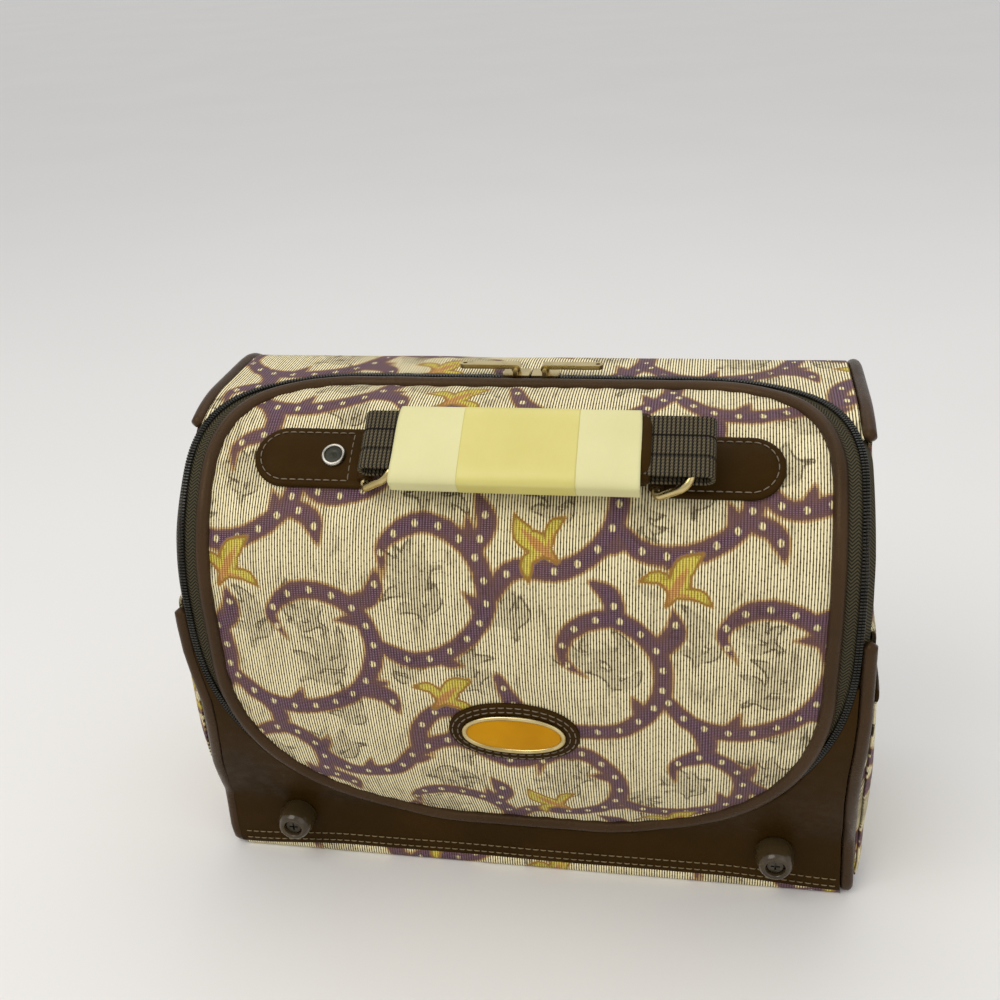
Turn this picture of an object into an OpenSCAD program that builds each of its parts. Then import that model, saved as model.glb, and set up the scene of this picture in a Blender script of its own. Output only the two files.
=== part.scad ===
// Carpet bag: a tapestry travel case with a piped, zipped front lid.
// The bag stands on its base. Front is -Y, up is +Z, width runs along X.
// The origin is the middle of the base's underside.

/* [Body] */
// Width of the bag at its base
base_w = 304; // [260:1:360]
// How much each side leans in towards the top
top_inset = 6.5; // [3:0.5:10]
// Depth of the base
base_d = 121; // [100:1:160]
// Height of the bag
body_h = 234; // [215:1:280]
// Thickness of a body panel, cloth and stiffener together
wall = 2.4; // [1.6:0.1:3]
// Height of the tapestry strip below the apron
strip_h = 6; // [4:0.5:10]
// Thickness of the stiffening board in the base
board_t = 2; // [1:0.5:3]
// Thickness of the lining cloth
lining_t = 0.8; // [0.5:0.1:1.2]

/* [Front profile] */
// How far the front swells past the base
swell = 25; // [15:1:35]
// Height where the front starts to swell
swell_z0 = 35; // [34:1:40]
// Height of the fullest part of the front
swell_z1 = 130; // [110:1:140]
// Radius of the front shoulder
shoulder_r = 72; // [55:1:75]
// Radius of the back shoulder
back_r = 38; // [25:1:50]

/* [Lid] */
// Distance of the lid's cloth from the side of the bag's top
lid_side = 17.5; // [16.5:0.5:30]
// Height of the lid's lower edge
lid_z = 34; // [32:0.5:38]
// Radius of the lid's lower corners
lid_low_r = 98; // [70:1:110]
// Radius of the lid's upper corners
lid_top_r = 52; // [35:1:60]
// How far the lid reaches back over the top, from the front of the shoulder's top
lid_over = 5; // [2:1:12]
// Thickness of the lid's cloth and padding
lid_t = 2.2; // [1.6:0.1:3]
// Radius of the lid's piping
piping_r = 3.1; // [2:0.1:4]

/* [Zip] */
// Visible width of the zip tape on the lid
tape_w = 5; // [4:0.5:5]
// Width of one row of zip teeth
teeth_w = 1.15; // [0.8:0.05:1.2]
// Thickness of the zip tape
tape_t = 1; // [0.6:0.1:1.2]
// Length of a zip slider
slider_l = 12; // [9:0.5:16]
// Width of a zip slider
slider_w = 9; // [7:0.5:11]
// Length of a zip pull
pull_l = 26; // [18:1:36]

/* [Binding and pockets] */
// Radius of the binding round the side panels
bind_r = 3; // [2:0.1:3.2]
// Height of the side pockets
pocket_h = 125; // [90:1:140]
// Thickness of the pocket cloth
pocket_t = 1.2; // [0.8:0.1:2]

/* [Feet] */
// Distance of each foot from the side of the base
foot_side = 36; // [30:1:50]
// Height of the feet on the apron
foot_z = 24.5; // [22:0.5:26]
// Radius of a foot at the apron
foot_r = 8.5; // [6:0.5:9]
// Radius of a foot at its tip
foot_tip_r = 6.6; // [5.5:0.1:7.5]
// Length of a foot
foot_l = 12.5; // [8:0.5:16]
// Radius of the recess in a foot's tip
recess_r = 4.2; // [3.6:0.1:4.6]
// Depth of the recess in a foot's tip
recess_d = 4; // [3:0.5:6]
// Radius of the screw through a foot
screw_r = 1.8; // [1.5:0.1:2.2]

/* [Handle] */
// Slope of the shoulder where the handle sits, in degrees above level
handle_slope = 53; // [45:1:60]
// Distance of each handle tab from the side of the lid
tab_side = 17.4; // [12:0.2:24]
// Length of a handle tab beyond the bar
tab_l = 50.6; // [40:0.5:56]
// Width of a handle tab
tab_w = 27.6; // [22:0.5:30]
// Thickness of a handle tab
tab_t = 2.3; // [1.5:0.1:3]
// Radius of the rivet heads
rivet_r = 5.2; // [3:0.1:6]
// Radius of the ring wire
wire_r = 1.7; // [1.2:0.1:2]
// Width inside a ring
ring_w = 28; // [24:0.5:32]
// Reach of a ring from its bar
ring_reach = 18.2; // [16:0.1:20]
// Slope of the rings as the handle lies, in degrees
ring_slope = 40; // [35:1:45]
// Thickness of the webbing
web_t = 1.5; // [1:0.1:2]
// Width of the webbing
web_w = 26; // [20:0.5:26]
// Length of webbing from the grip to the end of its loop
strap_l = 25; // [24:0.5:30]
// How far the slack handle lies to the right
handle_shift = 11.5; // [8:0.5:13]
// Width of the padded grip
grip_w = 31; // [28:0.5:36]
// Thickness of the padded grip
grip_t = 11.5; // [11:0.5:12]
// How far the sleeve reaches past the grip at its left end
sleeve_over = 11; // [8:0.5:12]
// Length of the grip that shows at the sleeve's right end
sleeve_short = 3.5; // [2:0.5:8]
// Thickness of the sleeve
sleeve_t = 0.5; // [0.3:0.1:0.8]

/* [Badge] */
// Height of the badge's middle
badge_z = 102; // [90:1:112]
// Length of the badge's leather backing
badge_l = 58; // [45:1:70]
// Height of the badge's leather backing
badge_h = 34; // [26:1:44]
// Width of the leather shown round the metal rim
badge_border = 6; // [4:0.5:8]
// Width of the metal rim
rim_w = 2.2; // [1.5:0.1:3]

/* [Hidden] */
// Running clearance between pieces that are sewn or seated together
seat = 0.15;
// Room between the rows of teeth, and round the binding
row_gap = 0.2;
// Room left round a wire that turns in a knuckle
wire_gap = 0.08;
// Length that carries a cutting prism clear of the bag
past = 40;
// Steps in the arcs of the front profile, and degrees to a step elsewhere
swell_steps = 8;
shoulder_steps = 15;
arc_step = 6;
// Sides of a swept cord
cord_sides = 8;
// Facets of the small round pieces
$fn = 48;

tapestry = [0.66, 0.60, 0.47];
vinyl = [0.24, 0.17, 0.11];
zip_cloth = [0.24, 0.22, 0.16];
black = [0.09, 0.09, 0.08];
brass = [0.75, 0.62, 0.32];
steel = [0.66, 0.64, 0.60];
cream = [0.87, 0.84, 0.60];

// Widths that follow from the base's
top_w = base_w - 2 * top_inset;
lid_w = top_w - 2 * lid_side;
foot_x = base_w / 2 - foot_side;
bar_x = lid_w / 2 - tab_side - tab_l;

// Places along Y: the base's front and back, the swollen front, the shoulder's top
y_front = -base_d / 2;
y_back = base_d / 2;
y_nose = y_front - swell;
y_shoulder = y_nose + shoulder_r;
shoulder_z = body_h - shoulder_r;
swell_run = swell_z1 - swell_z0;
swell_r = (swell * swell + swell_run * swell_run) / (2 * swell);

// The lid's outline, measured at the middle of its piping
rim_gap = piping_r + row_gap;
rim_x = lid_w / 2 + rim_gap;
rim_low_r = lid_low_r + rim_gap;
rim_low_z = lid_z + lid_low_r;
rim_top_r = lid_top_r + rim_gap;
rim_top_x = lid_w / 2 - lid_top_r;
rim_top_y = y_shoulder + lid_over - lid_top_r;

// The zip's rows outwards from the piping, as distances from its middle
tape_out = rim_gap + tape_w;
row_lid = tape_out + seat;
row_body = row_lid + teeth_w + row_gap;
zip_out = row_body + teeth_w;
apron_gap = row_gap + seat;
// The zip's lower corners sweep wider than the lid's and end under the piping
zip_sweep = 19;
zip_low_r = lid_low_r + zip_sweep;
zip_low_x = rim_x + zip_out - zip_low_r;
zip_low_z = lid_z - rim_gap * 2 + zip_low_r;

// The binding lies in the corners of the body, a little proud of its faces
bind_in = bind_r - 0.8;
bind_floor = bind_r + row_gap;
channel = bind_in + bind_r + apron_gap;
channel_floor = bind_floor + bind_r + apron_gap;
horn_z = 136;
bend = bind_r + 0.4;
// The binding's upper end, where the zip turns away from the side panel
brow_slope = 66;
brow_y = y_shoulder - shoulder_r * cos(brow_slope);

// The inner faces of the lining
lining_in = wall + tape_t + 2 * seat;
lining_floor = wall + board_t + 2 * seat;

// The knuckle that a tab forms round its ring's bar
knuckle_r = wire_r + 1.4;
bar_h = knuckle_r + seat + 0.1;
ring_half = ring_w / 2 + wire_r;
ring_corner = 6;
bar_corner = 2.6;
// The loop of webbing leaves the ring room to turn inside it
loop_slack = 1.1;
loop_in = wire_r + loop_slack;
loop_out = loop_in + web_t;
loop_sink = 0.7;
loop_z = bar_h + ring_reach * sin(ring_slope) - loop_sink;
// The left loop ends at its ring's bar, and the grip lies between the loops
strap_half = bar_x + handle_shift;
grip_half = strap_half - strap_l;
// Ends of the loops' straight runs: inside at the grip, outside past the rings
grip_pocket = 16;
grip_left = handle_shift - grip_half;
grip_right = handle_shift + grip_half;
loop_left_in = seat + loop_out - grip_left;
loop_left_out = strap_half - handle_shift - loop_out;
loop_right_in = grip_right - grip_pocket;
loop_right_out = strap_half + handle_shift - loop_out;
// The sleeve is wide enough to slip over a ring
sleeve_in_w = 2 * (ring_half + wire_r + 0.5);
sleeve_left = grip_left - sleeve_over;
sleeve_l = grip_right - sleeve_short - sleeve_left;

// Half of the bag's width at a height
function half_w(z) = base_w / 2 - (base_w - top_w) / 2 * z / body_h;

// The front face at a height and the top face at a depth, k inside the surface
function front_y(z, k) =
    z <= swell_z0 ? y_front + k :
    z < swell_z1 ? y_nose + swell_r - sqrt(pow(swell_r - k, 2) - pow(swell_z1 - z, 2)) :
    z <= shoulder_z ? y_nose + k :
    y_shoulder - sqrt(pow(shoulder_r - k, 2) - pow(z - shoulder_z, 2));
function top_z(y, k) =
    y >= y_shoulder ? body_h - k : shoulder_z + sqrt(pow(shoulder_r - k, 2) - pow(y_shoulder - y, 2));

// Slope of the surface's normal above level, at a height on the front or a depth on the top
function front_slope(z) =
    z <= swell_z0 ? 0 :
    z < swell_z1 ? -asin((swell_z1 - z) / swell_r) :
    z <= shoulder_z ? 0 : asin((z - shoulder_z) / shoulder_r);
function top_slope(y) = y >= y_shoulder ? 90 : acos((y_shoulder - y) / shoulder_r);
function normal_at(slope) = [0, -cos(slope), sin(slope)];

function arc(cx, cy, r, from, to, steps) =
    [for (i = [0 : steps]) let (a = from + (to - from) * i / steps) [cx + r * cos(a), cy + r * sin(a)]];

// The bag's side outline in Y and Z, k inside its surface and floor_k above its underside
function profile_points(k, floor_k) = concat(
    [[y_back - k, floor_k], [y_back - k, body_h - back_r]],
    arc(y_back - back_r, body_h - back_r, back_r - k, 0, 90, 10),
    arc(y_shoulder, shoulder_z, shoulder_r - k, 90, 180, shoulder_steps),
    [for (i = [0 : swell_steps])
        let (z = swell_z1 - swell_run * i / swell_steps) [front_y(z + 0.001, k), z]],
    [[y_front + k, swell_z0 - 0.5], [y_front + k, floor_k]]
);

// A prism along X of an outline in Y and Z, and one along Y of an outline in X and Z
module along_x() { rotate([90, 0, 90]) linear_extrude(base_w + 2 * past, center = true) children(); }
module along_y() {
    rotate([90, 0, 0]) linear_extrude(base_d + 2 * swell + 4 * past, center = true) children();
}

module side_outline(k, floor_k = undef) {
    polygon(profile_points(k, is_undef(floor_k) ? k : floor_k));
}

// The skin of the bag between two depths, as a closed tunnel along X
module skin(outer, inner) {
    along_x() difference() {
        side_outline(outer);
        side_outline(inner);
    }
}

// The bag's front outline, k inside the sides
module front_outline(k) {
    low = base_w / 2 - k;
    high = top_w / 2 - k;
    polygon([[-low, 0], [low, 0], [high, body_h], [-high, body_h]]);
}

// A block that keeps what lies between two depths and two heights
module keep(y0, y1, z0, z1) {
    translate([-base_w, y0, z0]) cube([2 * base_w, y1 - y0, z1 - z0]);
}

// The zone inside a U-shaped outline: low corners seen from the front, upper ones from above
module u_zone(grow, low_x, low_z, low_r) {
    half = rim_x + grow;
    right = arc(low_x, low_z, low_r, -90, 0, 90 / arc_step);
    left = [for (i = [len(right) - 1 : -1 : 0]) [-right[i][0], right[i][1]]];
    top = body_h + past;
    corner = arc(rim_top_x, rim_top_y, rim_top_r + grow, 0, 90, 90 / arc_step);
    far = [for (i = [len(corner) - 1 : -1 : 0]) [-corner[i][0], corner[i][1]]];
    front = y_nose - past;
    intersection() {
        along_y() polygon(concat(right, [[half, top], [-half, top]], left));
        linear_extrude(body_h + 2 * past)
            polygon(concat([[half, front]], corner, far, [[-half, front]]));
    }
}
module lid_zone(grow) { u_zone(grow, rim_x - rim_low_r, rim_low_z, rim_low_r + grow); }
module zip_zone(grow) { u_zone(grow, zip_low_x, zip_low_z, zip_low_r + grow - zip_out); }

// A strip of skin that follows the zip between two distances from the piping
module zip_strip(outer, inner, from, to) {
    difference() {
        intersection() {
            skin(outer, inner);
            zip_zone(to);
        }
        zip_zone(from);
        lid_zone(rim_gap + seat);
    }
}

// A round cord swept along points, with one direction across it given at each point
function unit(v) = v / norm(v);
module cord(points, across, r, closed = false) {
    count = len(points);
    last = count - 1;
    rings = [for (i = [0 : last])
        let (
            before = points[closed ? (i + last) % count : max(i - 1, 0)],
            after = points[closed ? (i + 1) % count : min(i + 1, last)],
            along = unit(after - before),
            side = unit(cross(along, across[i])),
            up = cross(side, along)
        )
        for (j = [0 : cord_sides - 1])
            let (a = (j + 0.5) * 360 / cord_sides) points[i] + r * (cos(a) * up + sin(a) * side)];
    spans = closed ? last : last - 1;
    walls = [for (i = [0 : spans]) for (j = [0 : cord_sides - 1])
        let (
            here = i * cord_sides,
            there = (i + 1) % count * cord_sides,
            k = (j + 1) % cord_sides
        )
        each [[here + j, there + j, there + k], [here + j, there + k, here + k]]];
    ends = closed ? [] : [
        [for (j = [0 : cord_sides - 1]) j],
        [for (j = [cord_sides - 1 : -1 : 0]) last * cord_sides + j]
    ];
    polyhedron(rings, concat(walls, ends));
}

// Side panels: a D-shaped plate on each side, its front edge free above the apron for the zip
module side_panel(side) {
    color(tapestry) mirror([side < 0 ? 1 : 0, 0, 0]) intersection() {
        along_x() union() {
            side_outline(channel, channel_floor);
            intersection() {
                side_outline(0);
                translate([y_nose - past, horn_z + bend])
                    square([brow_y - y_nose + past - bend, body_h]);
            }
        }
        along_y() polygon([
            [base_w / 2 - wall, 0], [base_w / 2, 0], [top_w / 2, body_h], [top_w / 2 - wall, body_h]
        ]);
    }
}
module side_panel_left() { side_panel(-1); }
module side_panel_right() { side_panel(1); }

// A panel of the body's skin between the side panels
module panel(y0, y1, z0, z1) {
    intersection() {
        skin(0, wall);
        along_y() front_outline(channel);
        keep(y0, y1, z0, z1);
    }
}
module back_panel() { color(tapestry) panel(0, y_back + past, strip_h + seat, body_h - back_r); }
module top_panel() {
    color(tapestry) difference() {
        panel(brow_y, y_back + past, body_h - back_r + seat, body_h + past);
        zip_zone(zip_out + apron_gap);
    }
}
module base_panel() { color(tapestry) panel(y_front - past, y_back + past, 0, strip_h); }

module base_board() {
    inset = wall + seat;
    color(black) translate([-base_w / 2 + channel + 2, y_front + inset, inset])
        cube([base_w - 2 * channel - 4, base_d - 2 * inset, board_t]);
}

// Apron: the vinyl front below the lid, with horns that rise beside the lid's corners
module front_apron() {
    color(vinyl) difference() {
        panel(y_nose - past, 0, strip_h + seat, horn_z);
        zip_zone(zip_out + apron_gap);
        lid_zone(rim_gap + apron_gap);
        for (side = [-1, 1])
            translate([side * foot_x, y_front, foot_z]) rotate([90, 0, 0])
                cylinder(h = past, r = screw_r + wire_gap, center = true);
    }
}

// Lining: one sewn bag that follows the walls and is open where the lid opens
module lining_block(k, floor_k) {
    intersection() {
        along_x() side_outline(k, floor_k);
        along_y() front_outline(channel + k - wall);
    }
}
module body_lining() {
    inner = lining_in + lining_t;
    color(cream) difference() {
        lining_block(lining_in, lining_floor);
        lining_block(inner, lining_floor + lining_t);
        lid_zone(zip_out);
        for (side = [-1, 1])
            translate([side * foot_x, y_front, foot_z]) rotate([90, 0, 0])
                cylinder(h = past, r = nut_r + seat, center = true);
    }
}

// Binding: a cord round each side panel, from the horn down, under, up the back and over the top
module edge_binding(side) {
    back_in = y_back - bind_in;
    front_in = y_front + bind_in;
    path = concat(
        [for (i = [0 : 10])
            let (z = horn_z + (swell_z0 - horn_z) * i / 10) [front_y(z + 0.001, bind_in), z]],
        arc(front_in + bend, bind_floor + bend, bend, 180, 270, 4),
        arc(back_in - bend, bind_floor + bend, bend, -90, 0, 4),
        arc(y_back - back_r, body_h - back_r, back_r - bind_in, 0, 90, 8),
        arc(y_shoulder, shoulder_z, shoulder_r - bind_in, 90, 180 - brow_slope, 4)
    );
    color(vinyl) cord(
        [for (p = path) [side * (half_w(p[1]) - bind_in), p[0], p[1]]],
        [for (p = path) [side, 0, 0]],
        bind_r
    );
}
module edge_binding_left() { edge_binding(-1); }
module edge_binding_right() { edge_binding(1); }

// Slip pockets on the sides, with a bound top edge
side_tilt = atan((base_w - top_w) / 2 / body_h);
module on_side(side) {
    mirror([side < 0 ? 1 : 0, 0, 0]) translate([base_w / 2, 0, 0]) rotate([0, -side_tilt, 0]) children();
}
module side_pocket(side) {
    color(tapestry) intersection() {
        on_side(side) translate([seat, -base_d, 0]) cube([pocket_t, 2 * base_d, pocket_h]);
        along_x() side_outline(channel + 1, channel_floor + 1);
    }
}
module side_pocket_left() { side_pocket(-1); }
module side_pocket_right() { side_pocket(1); }
module pocket_binding(side) {
    bead = bind_r * 2;
    color(vinyl) intersection() {
        on_side(side) translate([seat, -base_d, pocket_h + seat])
            cube([pocket_t + 0.8, 2 * base_d, bead]);
        along_x() side_outline(channel + 1, channel_floor + 1);
    }
}
module pocket_binding_left() { pocket_binding(-1); }
module pocket_binding_right() { pocket_binding(1); }

// Zip: a tape and a row of teeth on the lid, and the matching pair on the body
tape_depth = 0.8;
module zip_tape_lid() {
    color(zip_cloth) zip_strip(tape_depth, tape_depth + tape_t, -tape_w * 4, tape_out);
}
module zip_teeth_lid() {
    color(black) zip_strip(-tape_depth / 2, tape_depth + tape_t, row_lid, row_lid + teeth_w);
}
module zip_teeth_body() {
    color(black) intersection() {
        zip_strip(-tape_depth / 2, tape_depth + tape_t, row_body, zip_out);
        keep(y_nose - past, y_back, lid_z, body_h + past);
    }
}
module zip_tape_body() {
    depth = tape_depth + tape_t + seat;
    color(zip_cloth) intersection() {
        zip_strip(depth, depth + tape_t, row_lid, zip_out);
        along_y() front_outline(wall + seat);
        keep(y_nose - past, y_back, horn_z, body_h + past);
    }
}

// Feet on the apron, each held by a screw and a nut
nut_r = 4;
nut_t = 2.4;
module on_apron(side) {
    translate([side * foot_x, y_front, foot_z]) rotate([90, 0, 0]) children();
}
module foot(side) {
    bore = screw_r + wire_gap;
    color(black) on_apron(side) rotate_extrude() polygon([
        [bore, 0], [foot_r, 0], [foot_r, 2], [foot_tip_r, foot_l - 1], [foot_tip_r - 1, foot_l],
        [recess_r, foot_l], [recess_r, foot_l - recess_d], [bore, foot_l - recess_d]
    ]);
}
module foot_left() { foot(-1); }
module foot_right() { foot(1); }
module foot_screws() {
    head_r = recess_r - 0.6;
    color(steel) for (side = [-1, 1]) on_apron(side) {
        translate([0, 0, -wall - nut_t]) cylinder(h = foot_l - recess_d + wall + nut_t + 0.5, r = screw_r);
        translate([0, 0, foot_l - recess_d]) difference() {
            cylinder(h = 2, r = head_r);
            translate([0, 0, 1.5]) cube([head_r * 1.2, 0.8, 1.2], center = true);
            translate([0, 0, 1.5]) cube([0.8, head_r * 1.2, 1.2], center = true);
        }
    }
}
module foot_nuts() {
    color(steel) for (side = [-1, 1]) on_apron(side) translate([0, 0, -wall - nut_t])
        difference() {
            cylinder(h = nut_t, r = nut_r, $fn = 6);
            translate([0, 0, -1]) cylinder(h = nut_t + 2, r = screw_r + wire_gap);
        }
}

// Lid: padded cloth bent over the swollen front and the shoulder
module lid_panel() {
    color(tapestry) intersection() {
        skin(0, lid_t);
        lid_zone(-rim_gap);
    }
}
module lid_lining() {
    color(cream) intersection() {
        skin(lid_t + seat, lid_t + seat + lining_t);
        lid_zone(-rim_gap);
    }
}

// Piping: a cord round the whole lid, half sunk in the skin
module lid_piping() {
    depth = 0.6;
    low_x = rim_x - rim_low_r;
    corner_z = top_z(rim_top_y, 0);
    flat = (corner_z - shoulder_z) / 5;
    low = concat([[0, lid_z - rim_gap]], arc(low_x, rim_low_z, rim_low_r, -90, 0, 14));
    rise = [for (z = [rim_low_z + 10, shoulder_z]) [rim_x, z]];
    turn = [for (i = [1 : 5]) [rim_x, shoulder_z + flat * i]];
    back = arc(rim_top_x, rim_top_y, rim_top_r, 8, 90, 10);
    front = concat(low, rise, turn);
    half = concat(
        [for (p = front) [p[0], front_y(p[1], depth), p[1]]],
        [for (p = back) [p[0], p[1], top_z(p[1], depth)]],
        [[0, rim_top_y + rim_top_r, body_h - depth]]
    );
    lean = concat(
        [for (p = front) normal_at(front_slope(p[1]))],
        [for (p = back) normal_at(top_slope(p[1]))],
        [normal_at(90)]
    );
    count = len(half);
    mirrored = [for (i = [count - 2 : -1 : 1]) [-half[i][0], half[i][1], half[i][2]]];
    color(vinyl) cord(
        concat(half, mirrored),
        concat(lean, [for (i = [count - 2 : -1 : 1]) lean[i]]),
        piping_r,
        closed = true
    );
}

// Zip sliders, met in the middle of the top, each with a hinged pull
chain_y = rim_top_y + rim_top_r + row_lid + teeth_w + row_gap / 2;
plate_z = body_h + tape_depth / 2 + row_gap;
plate_t = 1.4;
bail_r = 1;
bail_x = slider_l / 2 + 0.6;
bail_w = 2.4;
eye_r = bail_r + wire_gap;
barrel_r = eye_r + 0.9;
bail_z = plate_z + plate_t + barrel_r + row_gap;
module slider(side) {
    color(brass) mirror([side < 0 ? 1 : 0, 0, 0]) {
        translate([0.6, chain_y - slider_w / 2, plate_z]) cube([slider_l, slider_w, plate_t]);
        for (end = [-1, 1])
            translate([bail_x - bail_r, chain_y + end * (bail_w + 2) - 0.8, plate_z + plate_t])
                cube([2 * bail_r, 1.6, bail_z - plate_z - plate_t]);
        translate([bail_x, chain_y, bail_z]) rotate([90, 0, 0])
            cylinder(h = 2 * (bail_w + 2) + 1.6, r = bail_r, center = true);
    }
}
module slider_left() { slider(-1); }
module slider_right() { slider(1); }
module pull(side) {
    color(brass) mirror([side < 0 ? 1 : 0, 0, 0]) translate([bail_x, chain_y, bail_z]) difference() {
        union() {
            rotate([90, 0, 0]) cylinder(h = 2 * bail_w, r = barrel_r, center = true);
            translate([0, -bail_w, 0]) cube([pull_l - bail_w, 2 * bail_w, barrel_r]);
            translate([pull_l - bail_w, 0, 0]) cylinder(h = barrel_r, r = bail_w);
        }
        rotate([90, 0, 0]) cylinder(h = 4 * bail_w, r = eye_r, center = true);
        translate([pull_l - bail_w, 0, -1]) cylinder(h = 5, r = 1);
    }
}
module pull_left() { pull(-1); }
module pull_right() { pull(1); }

// The handle's own frame on the shoulder: X along the handle, Y up the lid, Z off its surface
module on_shoulder() {
    translate([
        0,
        y_shoulder - shoulder_r * cos(handle_slope),
        shoulder_z + shoulder_r * sin(handle_slope)
    ]) rotate([90 - handle_slope, 0, 0]) children();
}

// Handle tabs: a strap end laid on the lid and turned round the ring's bar
module handle_tab(side) {
    end_r = tab_w / 2;
    color(vinyl) mirror([side < 0 ? 1 : 0, 0, 0]) difference() {
        union() {
            intersection() {
                skin(-seat - tab_t, -seat);
                on_shoulder() linear_extrude(past, center = true) {
                    translate([bar_x, -end_r]) square([tab_l - end_r, tab_w]);
                    translate([bar_x + tab_l - end_r, 0]) circle(end_r);
                }
            }
            on_shoulder() translate([bar_x, 0, bar_h]) rotate([90, 0, 0])
                cylinder(h = web_w - 1, r = knuckle_r, center = true);
        }
        on_shoulder() translate([bar_x, 0, bar_h]) rotate([90, 0, 0])
            cylinder(h = 2 * web_w, r = wire_r + wire_gap, center = true);
    }
}
module handle_tab_left() { handle_tab(-1); }
module handle_tab_right() { handle_tab(1); }

module tab_rivets() {
    rivet_x = bar_x + 15.5;
    color(steel) for (side = [-1, 1]) on_shoulder()
        translate([side * rivet_x, 0, tab_t + 2 * seat]) difference() {
            cylinder(h = 1.6, r1 = rivet_r, r2 = rivet_r - 0.7);
            translate([0, 0, 1]) cylinder(h = 1, r = rivet_r - 1.7);
        }
}

// Rings: a wire with a straight bar in the knuckle and a rounded bow, both leaning with the slack handle
module ring_wire() {
    straight = ring_half - bar_corner;
    bow = ring_half - ring_corner;
    rotate([90, 0, 0]) cylinder(h = 2 * straight, r = wire_r, center = true);
    translate([ring_reach, 0, 0]) rotate([90, 0, 0]) cylinder(h = 2 * bow, r = wire_r, center = true);
    for (end = [0, 1]) mirror([0, end, 0]) {
        translate([bar_corner, straight, 0]) rotate([0, 0, 90])
            rotate_extrude(angle = 90) translate([bar_corner, 0]) circle(wire_r);
        translate([bar_corner, ring_half, 0]) rotate([0, 90, 0])
            cylinder(h = ring_reach - bar_corner - ring_corner, r = wire_r);
        translate([ring_reach - ring_corner, bow, 0])
            rotate_extrude(angle = 90) translate([ring_corner, 0]) circle(wire_r);
    }
}
module ring(side) {
    color(brass) on_shoulder() translate([side * bar_x, 0, bar_h]) rotate([0, -ring_slope, 0]) ring_wire();
}
module ring_left() { ring(-1); }
module ring_right() { ring(1); }

// Webbing: a flat loop through each ring, its inner end sewn against the grip
module loop_outline(x0, x1, r) {
    translate([x0, -r]) square([x1 - x0, 2 * r]);
    for (x = [x0, x1]) translate([x, 0]) circle(r);
}
module webbing(side, start_x, end_x) {
    color(zip_cloth) on_shoulder() translate([0, 0, loop_z]) mirror([side < 0 ? 1 : 0, 0, 0])
        rotate([90, 0, 0]) linear_extrude(web_w, center = true) difference() {
            loop_outline(start_x, end_x, loop_out);
            loop_outline(start_x, end_x, loop_in);
        }
}
module webbing_left() { webbing(-1, loop_left_in, loop_left_out); }
module webbing_right() { webbing(1, loop_right_in, loop_right_out); }

// Grip: a padded bar between the loops, hollow where the right one runs into it
module grip_outline(w, t) {
    r = t / 2;
    translate([-w / 2 + r, -r]) square([w - t, t]);
    for (end = [-1, 1]) translate([end * (w / 2 - r), 0]) circle(r);
}
module handle_grip() {
    pocket = loop_out + seat;
    color(vinyl) on_shoulder() translate([0, 0, loop_z]) difference() {
        translate([grip_left, 0, 0]) rotate([90, 0, 90])
            linear_extrude(2 * grip_half) grip_outline(grip_w, grip_t);
        translate([loop_right_in - pocket, -web_w / 2 - seat, -pocket])
            cube([past, web_w + 2 * seat, 2 * pocket]);
    }
}
module grip_sleeve() {
    color(cream) on_shoulder() translate([sleeve_left, 0, loop_z]) rotate([90, 0, 90])
        linear_extrude(sleeve_l) difference() {
            grip_outline(sleeve_in_w + 2 * sleeve_t, grip_t + 2 * (seat + sleeve_t));
            grip_outline(sleeve_in_w, grip_t + 2 * seat);
        }
}

// Badge: a leather oval on the lid that carries a metal rim and a bare plate
module oval(l, h) {
    end_r = h * 0.36;
    a = l / 2 - end_r;
    b = h / 2;
    big_r = (a * a + b * b - end_r * end_r) / (2 * (b - end_r));
    meet = a * big_r / (big_r - end_r);
    intersection() {
        translate([0, big_r - b]) circle(big_r, $fn = 180);
        translate([0, b - big_r]) circle(big_r, $fn = 180);
        square([2 * meet, h], center = true);
    }
    for (end = [-1, 1]) translate([end * a, 0]) circle(end_r);
}
badge_slope = front_slope(badge_z);
backing_t = 1.5;
rim_t = 1.4;
face_t = 0.9;
rim_l = badge_l - 2 * badge_border;
rim_h = badge_h - 2 * badge_border;
module badge_layer(low, high) {
    intersection() {
        skin(-high, -low);
        translate([0, front_y(badge_z, 0), badge_z]) rotate([90 - badge_slope, 0, 0])
            linear_extrude(past, center = true) children();
    }
}
module badge_backing() { color(vinyl) badge_layer(seat, seat + backing_t) oval(badge_l, badge_h); }
module badge_rim() {
    low = backing_t + 2 * seat;
    color(brass) badge_layer(low, low + rim_t) difference() {
        oval(rim_l, rim_h);
        oval(rim_l - 2 * rim_w, rim_h - 2 * rim_w);
    }
}
module badge_face() {
    low = backing_t + 2 * seat;
    inside = 2 * rim_w + 2 * seat;
    color([0.72, 0.50, 0.08]) badge_layer(low, low + face_t) oval(rim_l - inside, rim_h - inside);
}

side_panel_left();
side_panel_right();
back_panel();
top_panel();
base_panel();
base_board();
front_apron();
body_lining();
edge_binding_left();
edge_binding_right();
side_pocket_left();
side_pocket_right();
pocket_binding_left();
pocket_binding_right();
zip_tape_body();
zip_teeth_body();
foot_left();
foot_right();
foot_screws();
foot_nuts();
lid_panel();
lid_lining();
lid_piping();
zip_tape_lid();
zip_teeth_lid();
slider_left();
slider_right();
pull_left();
pull_right();
handle_tab_left();
handle_tab_right();
tab_rivets();
badge_backing();
badge_rim();
badge_face();
ring_left();
ring_right();
webbing_left();
webbing_right();
handle_grip();
grip_sleeve();
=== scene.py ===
"""Looks of a tapestry carpet bag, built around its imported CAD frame.

Lengths are in millimetres until a mesh is made. A flat place on the front, the lid, the top or the back is x
across the bag and s along its skin, from the front's lower edge over the shoulder and down the back.
"""
import math

import bmesh
import bpy
import numpy as np
from mathutils import Matrix, Vector


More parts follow.
